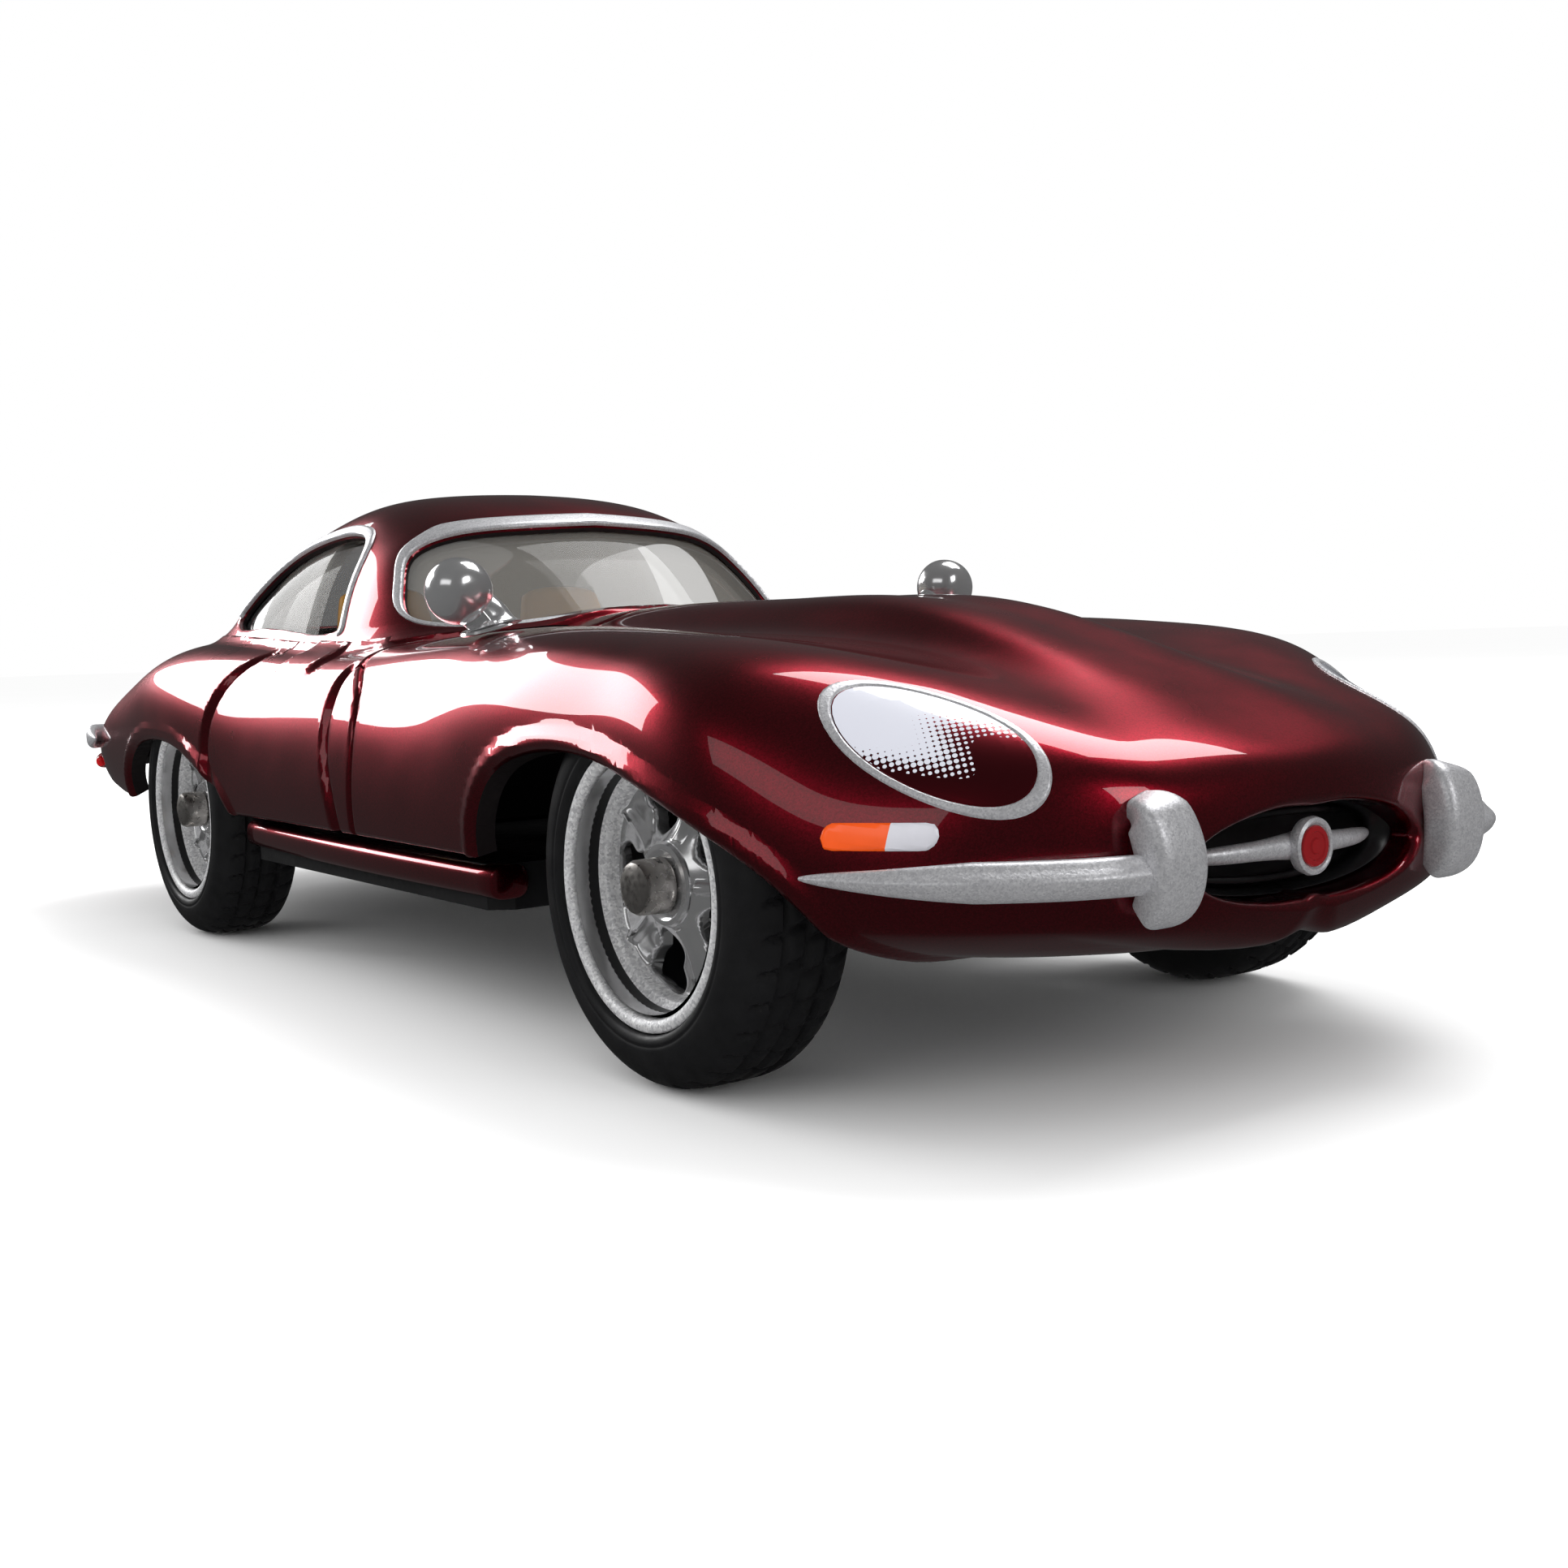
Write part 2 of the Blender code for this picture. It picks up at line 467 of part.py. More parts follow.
PAN = [(7.0, 0), (7.0, 3.6), (5.4, 8.2), (-9.2, 8.2), (-9.2, 11.5), (-9.8, 12.2), (-30.4, 12.25),
       (-31.0, 11.5), (-31.0, 8.4), (-45.6, 8.4), (-46.4, 10.4), (-51.5, 10.2), (-54.5, 8.2), (-56.2, 4.5),
       (-56.2, 0)]
EAR = [(5.7, 4.8), (6.9, 4.8), (6.9, 6.62), (8.1, 6.62), (8.28, 6.0), (8.44, 5.8), (8.64, 5.6), (8.84, 5.4),
       (8.92, 5.2), (9.06, 5.0), (9.22, 4.82), (9.42, 4.62), (9.8, 4.62), (10.0, 4.86), (10.0, 5.06), (9.84, 5.24),
       (9.66, 5.37), (9.02, 5.42), (9.02, 7.25), (5.7, 7.25)]
chassis = prism("chassis_base", mirror_outline(PAN), "z", BASE_Z, 5.5, BLACK)
for side, y in (("left", 1), ("right", -1)):
    near, far = sorted((y * 2.3, y * 3.1))
    join(chassis, prism(f"ear_{side}", EAR, "y", near, far))
for axle, x in (("front", 0.0), ("rear", -WHEELBASE)):
    for side, y in (("left", 1), ("right", -1)):
        near, far = sorted((y * 5.2, y * 7.8))
        join(chassis, box(f"saddle_{axle}_{side}", (x - 1.3, near, 4.5), (x + 1.3, far, 6.6)))
    groove = rod(f"axle_groove_{axle}", (x, -14, TYRE_R), (x, 14, TYRE_R), AXLE_R + 0.1)
    cut(chassis, groove)
for end, x in (("front", -17.3), ("rear", -51.8)):
    cut(chassis, rod(f"screw_way_{end}", (x, 0, 3), (x, 0, 7), 0.7))
    cut(chassis, rod(f"screw_sink_{end}", (x, 0, 3), (x, 0, 4.7), 1.3))
tunnel = box("tunnel", (-15.6, -1.6, 5.0), (-9.0, 1.6, 6.4))
join(chassis, tunnel)
for side, y in (("left", 2.2), ("right", -2.2)):
    join(chassis, rod(f"silencer_{side}", (-52.0, y, 4.85), (-57.4, y, 4.85), 0.7))
pivot_x, pivot_z = BONNET_PIVOT
cut(chassis, rod("pin_way", (pivot_x, -4, pivot_z), (pivot_x, 4, pivot_z), 0.27))

for end, x in (("front", -17.3), ("rear", -51.8)):
    head = rod(f"screw_head_{end}", (x, 0, 3.95), (x, 0, 4.6), 1.1)
    slot = box(f"screw_slot_{end}", (x - 0.8, -0.12, 3.5), (x + 0.8, 0.12, 4.15))
    screw = rod(f"base_screw_{end}", (x, 0, 4.3), (x, 0, 9.6), 0.5, STEEL)
    join(screw, head)
    cut(screw, slot)

rod("bonnet_hinge_pin", (pivot_x, -3.6, pivot_z), (pivot_x, 3.6, pivot_z), 0.2, STEEL)

# ---------------------------------------------------------------- wheels

for corner in ("front_left", "front_right", "rear_left", "rear_right"):
    x = 0.0 if corner.startswith("front") else -WHEELBASE
    face = FRONT_FACE_Y if x == 0 else REAR_FACE_Y
    out = 1 if corner.endswith("left") else -1
    stand = wheel_frame(x, face, out)
    rim = turned(f"rim_{corner}", RIM, CHROME)
    rim.matrix_world = stand
    for n in range(5):
        turn = n * 2 * math.pi / 5
        c, s = math.cos(turn), math.sin(turn)
        around = [(u * c - v * s, u * s + v * c) for u, v in WINDOW]
        window = prism(f"window_{corner}_{n}", [(a - FRONT_AXLE_X, b) for a, b in around], "z", 1.0, 3.0)
        window.matrix_world = stand
        cut(rim, window)
    tyre = turned(f"tyre_{corner}", TYRE, RUBBER)
    tyre.matrix_world = stand

for axle, x, face in (("front", 0.0, FRONT_FACE_Y), ("rear", -WHEELBASE, REAR_FACE_Y)):
    hub = face - WHEEL_W + 2.6
    bar = rod(f"axle_{axle}", (x, -hub, TYRE_R), (x, hub, TYRE_R), AXLE_R, STEEL)
    for side, y in (("left", 1), ("right", -1)):
        near = (x, y * hub, TYRE_R)
        tip = (x, y * (hub + 0.95), TYRE_R)
        join(bar, rod(f"axle_head_{axle}_{side}", near, tip, 0.8, None, 20, 0.72))

for axle, x in (("front", 0.0), ("rear", -WHEELBASE)):
    strap = box(f"axle_strap_{axle}", (x - 1.9, -7.2, 6.7), (x + 1.9, 7.2, 7.2), BLACK)
    join(strap, box(f"strap_peg_{axle}", (x + 1.45, -2, 5.6), (x + 1.9, 2, 6.8)))
    join(strap, box(f"strap_tail_{axle}", (x - 1.9, -2, 5.6), (x - 1.45, 2, 6.8)))

# ---------------------------------------------------------------- cabin

tub = box("interior_tub", (-35.9, -8.3, 5.65), (-21.7, 8.3, 11.4), TAN)
tub_room = box("tub_room", (-35.3, -7.7, 6.2), (-22.3, 7.7, 12.5))
cut(tub, tub_room)
transmission = rod("transmission", (-22.0, 0, 6.7), (-35.6, 0, 6.7), 0.95)
join(tub, transmission)
for side, y in (("left", 4.6), ("right", -4.6)):
    seat = box(f"seat_{side}", (-33.6, y - 2.7, 6.35), (-28.2, y + 2.7, 7.9), TAN)
    outline = [(-32.4, 7.0), (-33.4, 12.6), (-34.4, 13.2), (-35.1, 12.6), (-33.9, 6.4)]
    join(seat, prism(f"seat_back_{side}", outline, "y", y - 2.6, y + 2.6))
DASH = [(-22.7, 9.6), (-22.5, 12.0), (-24.6, 12.0), (-25.1, 11.3), (-24.2, 9.6)]
prism("dashboard", DASH, "y", -7.5, 7.5, BLACK)
wheel_centre = Vector((-26.6, -4.4, 11.1))
steering = turned("steering_wheel", [(1.65, 0.14), (1.65, -0.14), (1.4, -0.14), (1.4, 0.14)], BLACK, 24)
tilt = Matrix.Rotation(math.radians(-65), 4, "Y")
tilt.translation = Vector(place(wheel_centre))
steering.matrix_world = tilt
spoke = box("steering_spokes", (-1.5 - FRONT_AXLE_X, -0.18, -0.1), (1.5 - FRONT_AXLE_X, 0.18, 0.1))
spoke.matrix_world = tilt
hub_cap = prism("steering_hub", superellipse(0.35, 0.35, 2, 12, (-FRONT_AXLE_X, 0)), "z", -0.2, 1.55)
hub_cap.matrix_world = tilt
join(steering, spoke, hub_cap)

# ---------------------------------------------------------------- engine

engine = box("engine_block", (-14.8, -1.9, 7.4), (-3.6, 1.7, 10.4), CAST)
for side, y in (("left", 1.15), ("right", -1.35)):
    join(engine, rod(f"cam_cover_{side}", (-14.6, y, 10.7), (-3.8, y, 10.7), 0.95))
for n in range(3):
    x = -12.6 + 3.5 * n
    join(engine, rod(f"carburettor_{n}", (x, -1.5, 9.4), (x, -4.3, 9.6), 0.85))
join(engine, box("sump", (-13.4, -1.4, 6.55), (-5.2, 1.4, 7.6)))

# ---------------------------------------------------------------- nose and bright parts

grille = prism("grille_insert", superellipse(4.6, 1.22, 2.2, 32, (0, 6.55)), "x", 9.2, 11.7, BLACK)
cut(grille, prism("grille_recess", superellipse(4.3, 1.0, 2.2, 32, (0, 6.55)), "x", 10.6, 12.5))
BAR = [(11.5, -4.05, 6.5), (12.0, -2.6, 6.55), (12.3, 0, 6.6), (12.0, 2.6, 6.55), (11.5, 4.05, 6.5)]
tube("grille_bar", BAR, [(0.2, 0.2), (0.2, 0.24), (0.2, 0.27), (0.2, 0.24), (0.2, 0.2)], SILVER)
rod("badge_disc", (12.58, 0, 6.6), (12.85, 0, 6.6), 0.85, ENAMEL, 24, 0.75)

BLADE = [(6.6, 12.62, 6.55), (8.6, 11.85, 6.55), (10.2, 10.85, 6.55), (11.5, 9.5, 6.55), (12.4, 8.0, 6.55),
         (12.95, 6.0, 6.55)]
OVERRIDER = [(12.75, 5.8, 8.4), (13.0, 5.8, 7.9), (13.15, 5.8, 7.0), (13.15, 5.8, 6.2), (13.05, 5.8, 5.35),
             (12.8, 5.8, 4.95)]
TAIL_BLADE = [(-50.9, 13.25, 8.6), (-52.5, 13.0, 8.6), (-54.3, 12.35, 8.6), (-55.9, 11.4, 8.55),
              (-57.2, 10.0, 8.55), (-58.1, 8.5, 8.5), (-58.6, 6.2, 8.5)]
TAIL_RIDER = [(-58.6, 6.2, 9.6), (-58.9, 6.2, 8.8), (-58.9, 6.2, 8.0), (-58.6, 6.2, 7.4)]
MIRROR_FOOT = [(-13.3, 10.05, 13.35), (-13.3, 10.25, 13.6), (-13.35, 10.6, 14.0), (-13.4, 10.9, 14.4)]
MIRROR_HEAD = [(-14.25, 0.85), (-14.2, 1.0), (-13.7, 1.12), (-13.2, 1.1), (-12.7, 0.8), (-12.35, 0.3)]
TAIL_LAMP = [(-53.9, 12.2, 7.3), (-55.05, 11.7, 7.3), (-56.1, 10.95, 7.35)]

for side, y in (("left", 1), ("right", -1)):
    mirror = np.array([1, y, 1])
    blade_path = smooth_line(BLADE, 2) * mirror
    widths = [(0.12, 0.18), (0.2, 0.3), (0.28, 0.4)] + [(0.33, 0.5)] * (len(blade_path) - 3)
    blade = tube(f"bumper_front_{side}", blade_path, widths, SILVER)
    widths = [(0.35, 0.2), (0.62, 0.4)] + [(0.75, 0.5)] * 7 + [(0.65, 0.45), (0.35, 0.25)]
    join(blade, tube(f"overrider_{side}", smooth_line(OVERRIDER, 2) * mirror, widths))
    tail_path = smooth_line(TAIL_BLADE, 2) * mirror
    widths = [(0.12, 0.25), (0.2, 0.4)] + [(0.3, 0.55)] * (len(tail_path) - 2)
    tail = tube(f"bumper_rear_{side}", tail_path, widths, SILVER)
    widths = [(0.3, 0.2), (0.5, 0.35), (0.5, 0.35), (0.3, 0.2)]
    join(tail, tube(f"rear_rider_{side}", np.array(TAIL_RIDER) * mirror, widths))
    foot = tube(f"mirror_{side}", np.array(MIRROR_FOOT) * mirror, [0.75, 0.42, 0.3, 0.32], CHROME)
    head = [(x, y * 11.0, 14.9) for x, _ in MIRROR_HEAD]
    join(foot, tube(f"mirror_ball_{side}", head, [r for _, r in MIRROR_HEAD], None, 16))
    tube(f"tail_lamp_{side}", np.array(TAIL_LAMP) * mirror, [0.25, 0.36, 0.25], RED_LENS, 10)
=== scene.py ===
"""Looks for the diecast collector coupe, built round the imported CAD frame."""

import math

import bmesh
import bpy
import numpy as np
from mathutils import Matrix, Vector
from mathutils.bvhtree import BVHTree


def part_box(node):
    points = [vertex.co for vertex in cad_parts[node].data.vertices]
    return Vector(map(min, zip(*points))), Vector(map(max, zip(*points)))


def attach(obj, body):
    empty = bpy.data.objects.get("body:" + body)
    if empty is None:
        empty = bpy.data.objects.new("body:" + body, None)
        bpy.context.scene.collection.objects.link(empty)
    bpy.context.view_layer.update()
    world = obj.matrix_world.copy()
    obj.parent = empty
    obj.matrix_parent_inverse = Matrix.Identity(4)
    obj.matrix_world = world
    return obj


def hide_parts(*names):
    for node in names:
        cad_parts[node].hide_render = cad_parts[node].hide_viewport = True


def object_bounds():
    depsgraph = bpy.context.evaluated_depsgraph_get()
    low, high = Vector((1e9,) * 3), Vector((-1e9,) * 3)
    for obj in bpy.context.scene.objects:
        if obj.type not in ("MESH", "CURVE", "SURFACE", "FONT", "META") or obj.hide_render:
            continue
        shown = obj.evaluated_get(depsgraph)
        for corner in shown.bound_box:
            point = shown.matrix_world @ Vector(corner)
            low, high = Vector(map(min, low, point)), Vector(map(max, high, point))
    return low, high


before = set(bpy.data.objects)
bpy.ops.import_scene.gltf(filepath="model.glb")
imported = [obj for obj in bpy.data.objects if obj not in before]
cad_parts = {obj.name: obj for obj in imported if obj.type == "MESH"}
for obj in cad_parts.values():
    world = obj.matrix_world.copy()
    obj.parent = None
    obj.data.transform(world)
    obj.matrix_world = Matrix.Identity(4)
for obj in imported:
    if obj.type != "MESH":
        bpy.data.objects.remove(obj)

CAD_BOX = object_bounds()

# Tables are in millimetres from the ground under the front axle, as in the part's source.
MM = 0.001
WALL = 0.8
ROOF_WALL = 0.36
GLASS_DEPTH = 0.42
GLASS_T = 0.5
SEAM_GAP = 0.12
SILL_TOP = 5.75
BODY = "chassis"
HOOD = "bonnet_assembly"
SIDES = (("left", 1), ("right", -1))


def middle(node):
    low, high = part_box(node)
    return (low + high) / 2


FRONT_X = middle("tyre_front_left").x / MM
TYRE_R = (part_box("tyre_front_left")[1].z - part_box("tyre_front_left")[0].z) / 2 / MM


def place(points):
    """Table millimetres to metres in the row frame."""
    return (np.asarray(points, float) + (FRONT_X, 0, 0)) * MM


# ---------------------------------------------------------------- materials


def math_node(tree, operation, first, second=0.0):
    """A math node whose inputs are numbers or the outputs of other nodes."""
    node = tree.nodes.new("ShaderNodeMath")
    node.operation = operation
    for socket, value in enumerate((first, second)):
        if isinstance(value, (int, float)):
            node.inputs[socket].default_value = value
        else:
            tree.links.new(value, node.inputs[socket])
    return node.outputs[0]


class Look:
    """A node material round one Principled shader, with short calls for the nodes that the finishes share."""

    def __init__(self, name, colour, roughness, metallic=0.0, **sockets):
        self.material = bpy.data.materials.new(name)
        self.material.use_nodes = True
        self.nodes = self.material.node_tree.nodes
        self.links = self.material.node_tree.links
        self.shader = self.nodes["Principled BSDF"]
        self.place = self.nodes.new("ShaderNodeTexCoord").outputs["Object"]
        self.set("Base Color", (*colour, 1.0))
        self.set("Roughness", roughness)
        self.set("Metallic", metallic)
        for socket, value in sockets.items():
            self.set(socket.replace("_", " "), value)

    def set(self, socket, value):
        self.shader.inputs[socket].default_value = value

    def link(self, out, socket):
        self.links.new(out, self.shader.inputs[socket])

    def noise(self, size, detail=2.0, rough=0.5):
        """Noise with features of about that size in millimetres."""
        node = self.nodes.new("ShaderNodeTexNoise")
        node.inputs["Scale"].default_value = 1 / (size * MM)
        node.inputs["Detail"].default_value = detail
        node.inputs["Roughness"].default_value = rough
        self.links.new(self.place, node.inputs["Vector"])
        return node.outputs["Fac"]

    def cells(self, size, output="Color"):
        node = self.nodes.new("ShaderNodeTexVoronoi")
        node.inputs["Scale"].default_value = 1 / (size * MM)
        self.links.new(self.place, node.inputs["Vector"])
        return node.outputs[output]

    def ramp(self, out, low, high, start, end):
        """A number from start to end while the input goes from low to high."""
        node = self.nodes.new("ShaderNodeMapRange")
        for socket, value in zip(("From Min", "From Max", "To Min", "To Max"), (low, high, start, end)):
            node.inputs[socket].default_value = value
        self.links.new(out, node.inputs["Value"])
        return node.outputs["Result"]

    def mix(self, factor, first, second):
        node = self.nodes.new("ShaderNodeMix")
        node.data_type = "RGBA"
        self.links.new(factor, node.inputs["Factor"])
        for socket, value in ((6, first), (7, second)):
            if isinstance(value, tuple):
                node.inputs[socket].default_value = (*value, 1.0)
            else:
                self.links.new(value, node.inputs[socket])
        return node.outputs[2]

    def bump(self, height, distance, strength=1.0, socket="Normal"):
        """A bump whose full height is that distance in millimetres."""
        node = self.nodes.new("ShaderNodeBump")
        node.inputs["Strength"].default_value = strength
        node.inputs["Distance"].default_value = distance * MM
        self.links.new(height, node.inputs["Height"])
        self.link(node.outputs["Normal"], socket)
        return node.outputs["Normal"]

    def math(self, operation, first, second=0.0):
        return math_node(self.material.node_tree, operation, first, second)



def candy_paint():
    """Dark red metallic base with fine flake under a smooth clear coat with slight orange peel."""
    look = Look("candy_paint", (0.3, 0.004, 0.014), 0.3, 1.0, Coat_Weight=1.0, Coat_Roughness=0.02,
                Coat_IOR=1.55)
    look.set("Coat Tint", (1.0, 0.82, 0.84, 1.0))
    flake = look.cells(0.035)
    shade = look.ramp(flake, 0.0, 1.0, 0.0, 1.0)
    look.link(look.mix(shade, (0.2, 0.002, 0.01), (0.4, 0.007, 0.028)), "Base Color")
    look.link(look.ramp(look.noise(2.5), 0.3, 0.7, 0.27, 0.33), "Roughness")
    look.bump(look.noise(1.6, 1.0), 0.004, 0.35, "Coat Normal")
    look.bump(shade, 0.002, 0.25)
    return look.material


def silver_paint():
    """Sprayed silver with visible aluminium grain."""
    look = Look("silver_paint", (0.75, 0.75, 0.77), 0.36, 0.75, Coat_Weight=0.25, Coat_Roughness=0.2)
    grain = look.ramp(look.cells(0.045), 0.0, 1.0, 0.0, 1.0)
    look.link(look.mix(grain, (0.58, 0.58, 0.61), (0.9, 0.9, 0.92)), "Base Color")
    look.link(look.ramp(look.noise(0.09, 3.0), 0.3, 0.7, 0.34, 0.55), "Roughness")
    look.bump(look.noise(0.08, 3.0), 0.02, 0.5)
    return look.material


def chrome(name="chrome", grain=0.0):
    """Vacuum plating: mirror smooth, or granular where it lies on a textured moulding."""
    look = Look(name, (0.86, 0.87, 0.88), 0.07, 0.5 if grain else 0.9)
    look.link(look.ramp(look.noise(0.5), 0.3, 0.7, 0.14 + grain * 0.2, 0.22 + grain * 0.4), "Roughness")
    drift = look.cells(0.07) if grain else look.noise(1.4)
    dull = 0.45 if grain else 0.85
    look.link(look.mix(drift, (dull, dull, dull + 0.02), (0.97, 0.97, 0.97)), "Base Color")
    if grain:
        look.bump(look.noise(0.1, 4.0, 0.7), 0.035, grain)
    else:
        look.bump(look.noise(0.8), 0.004, 0.3)
    return look.material


def steel():
    look = Look("steel", (0.6, 0.57, 0.54), 0.3, 1.0)
    look.link(look.mix(look.noise(0.3, 4.0), (0.5, 0.47, 0.44), (0.72, 0.69, 0.66)), "Base Color")
    look.link(look.ramp(look.noise(0.15), 0.3, 0.7, 0.22, 0.42), "Roughness")
    look.bump(look.noise(0.12, 3.0), 0.008, 0.4)
    return look.material


def rubber():
    look = Look("rubber", (0.008, 0.008, 0.009), 0.5, 0.0, Specular_IOR_Level=0.3)
    look.link(look.mix(look.noise(0.6, 4.0), (0.004, 0.004, 0.005), (0.011, 0.011, 0.012)), "Base Color")
    look.link(look.ramp(look.noise(0.9, 3.0), 0.3, 0.7, 0.36, 0.58), "Roughness")
    look.bump(look.noise(0.06, 3.0), 0.006, 0.4)
    return look.material


def plastic(name, colour, roughness=0.42, fine=0.1, depth=0.006):
    """Moulded plastic: slight colour drift, uneven gloss and fine mould texture."""
    look = Look(name, colour, roughness)
    dark = tuple(c * 0.78 for c in colour)
    light = tuple(min(1.0, c * 1.15 + 0.002) for c in colour)
    look.link(look.mix(look.noise(1.8, 3.0), dark, light), "Base Color")
    look.link(look.ramp(look.noise(0.5), 0.3, 0.7, roughness * 0.8, roughness * 1.2), "Roughness")
    look.bump(look.noise(fine, 3.0), depth, 0.4)
    return look.material


def clear_plastic(name="clear_plastic", colour=(0.26, 0.25, 0.23), alpha=0.36):
    """Clear styrene glazing with faint flow ripples."""
    look = Look(name, colour, 0.06, 0.0, IOR=1.38)
    look.set("Alpha", alpha)
    look.link(look.ramp(look.noise(2.2), 0.3, 0.7, 0.01, 0.05), "Roughness")
    look.bump(look.noise(3.2, 1.0), 0.02, 0.3)
    return look.material


def printed(name, colour, roughness=0.3):
    """Pad-printed ink under a thin gloss."""
    look = Look(name, colour, roughness, 0.0, Coat_Weight=0.6, Coat_Roughness=0.08)
    dark = tuple(c * 0.9 for c in colour)
    look.link(look.mix(look.noise(0.35, 4.0), dark, colour), "Base Color")
    look.bump(look.noise(0.12, 2.0), 0.003, 0.3)
    return look.material


PAINT = candy_paint()
SILVER = silver_paint()
CHROME = chrome()
GRAINY = chrome("grainy_chrome", 0.8)
STEEL = steel()
RUBBER = rubber()
BLACK = plastic("black_plastic", (0.006, 0.006, 0.007), 0.4)
# Nearly black, faintly maroon, for the castings' inner faces and edge walls: their own dark red overspray, darkened
# further as painted shade.
INSIDE_SHADE = plastic("casting_inside_painted_shade", (0.008, 0.003, 0.004), 0.6)
# The seats' tan, brighter than the tub's tan of the same plastic: their own colour raised by painted light, since
# the seats sit in the dim cabin.
SEAT_TAN_LIT = plastic("tan_plastic", (0.9, 0.42, 0.06), 0.4)
CLEAR = clear_plastic()
SMOKED = clear_plastic("smoked_plastic", (0.03, 0.03, 0.03), 0.82)
RED_LENS = printed("red_lens", (0.5, 0.005, 0.008), 0.12)
ENAMEL = printed("red_enamel", (0.2, 0.004, 0.006), 0.15)
AMBER = printed("amber_print", (0.85, 0.09, 0.002), 0.25)
WHITE = printed("white_print", (0.6, 0.6, 0.65), 0.3)
CAST = plastic("cast_grey", (0.2, 0.2, 0.21), 0.45)


# ---------------------------------------------------------------- curves and sheets


def spline_weights(knots, at):
    """Rows of weights that sample a natural cubic spline through values at the knots."""
    n = len(knots)
    h = np.diff(knots)
    left, right = np.eye(n), np.zeros((n, n))
    for i in range(1, n - 1):
        left[i, i - 1 : i + 2] = h[i - 1], 2 * (h[i - 1] + h[i]), h[i]
        right[i, i - 1 : i + 2] = 6 / h[i - 1], -6 / h[i - 1] - 6 / h[i], 6 / h[i]
    bend = np.linalg.solve(left, right)
    i = np.clip(np.searchsorted(knots, at, side="right") - 1, 0, n - 2)
    u = ((at - knots[i]) / h[i])[:, None]
    square = (h[i] ** 2 / 6)[:, None]
    straight = (1 - u) * np.eye(n)[i] + u * np.eye(n)[i + 1]
    return straight + square * (((1 - u) ** 3 - (1 - u)) * bend[i] + (u**3 - u) * bend[i + 1])


def between(knots, count):
    """The knots with count - 1 evenly spaced values added inside each interval."""
    parts = [np.linspace(a, b, count, endpoint=False) for a, b in zip(knots[:-1], knots[1:])]
    return np.append(np.concatenate(parts), knots[-1])


def smooth_line(points, count):
    points = np.asarray(points, float)
    knots = np.append(0, np.cumsum(np.linalg.norm(np.diff(points, axis=0), axis=1)))
    return spline_weights(knots, between(knots, count)) @ points


def smooth_sheet(net, along, across, far_mirror):
    """Samples the spline surface through net, a table [station][row] of points from the centre plane outwards."""
    net = np.asarray(net, float)
    flip = np.array([1, -1, 1])
    parts = [net[:, 2:0:-1] * flip, net]
    if far_mirror:
        parts.append(net[:, -2:-4:-1] * flip)
    wide = np.concatenate(parts, axis=1)
    step_u = np.linalg.norm(np.diff(net, axis=0), axis=2).mean(axis=1)
    step_v = np.linalg.norm(np.diff(wide, axis=1), axis=2).mean(axis=0)
    knots_u = np.append(0, np.cumsum(step_u))
    knots_v = np.append(0, np.cumsum(step_v))
    shown = knots_v[2 : 2 + net.shape[1]]
    weights_u = spline_weights(knots_u, between(knots_u, along))
    weights_v = spline_weights(knots_v, between(shown, across))
    return np.einsum("ui,vj,ijk->uvk", weights_u, weights_v, wide)


def mirror_outline(half):
    """A closed outline from its half with positive second coordinates."""
    half = np.asarray(half, float)
    return np.concatenate([half, (half[::-1] * (1, -1))[1:-1]])


def superellipse(half_wide, half_tall, power, count):
    turn = np.arange(count) * 2 * math.pi / count
    c, s = np.cos(turn), np.sin(turn)
    return np.column_stack([
        half_wide * np.sign(c) * np.abs(c) ** (2 / power),
        half_tall * np.sign(s) * np.abs(s) ** (2 / power),
    ])


def distance(points, outline, closed=True):
    """Distance of 2-D points from an outline; with closed, negative inside it."""
    points = np.asarray(points, float)
    a = np.asarray(outline, float)
    b = np.roll(a, -1, axis=0) if closed else a[1:]
    a = a if closed else a[:-1]
    best = np.full(len(points), np.inf)
    inside = np.zeros(len(points), bool)
    for p, q in zip(a, b):
        edge, to = q - p, points - p
        t = np.clip(to @ edge / max(edge @ edge, 1e-12), 0, 1)
        best = np.minimum(best, ((to - t[:, None] * edge) ** 2).sum(axis=1))
        if closed:
            crosses = (p[1] > points[:, 1]) != (q[1] > points[:, 1])
            reach = p[0] + (points[:, 1] - p[1]) * edge[0] / (edge[1] if edge[1] else 1e-12)
            inside ^= crosses & (points[:, 0] < reach)
    return np.sqrt(best) * np.where(inside, -1, 1)


# ---------------------------------------------------------------- skins: trimmed sheets with rolled edges


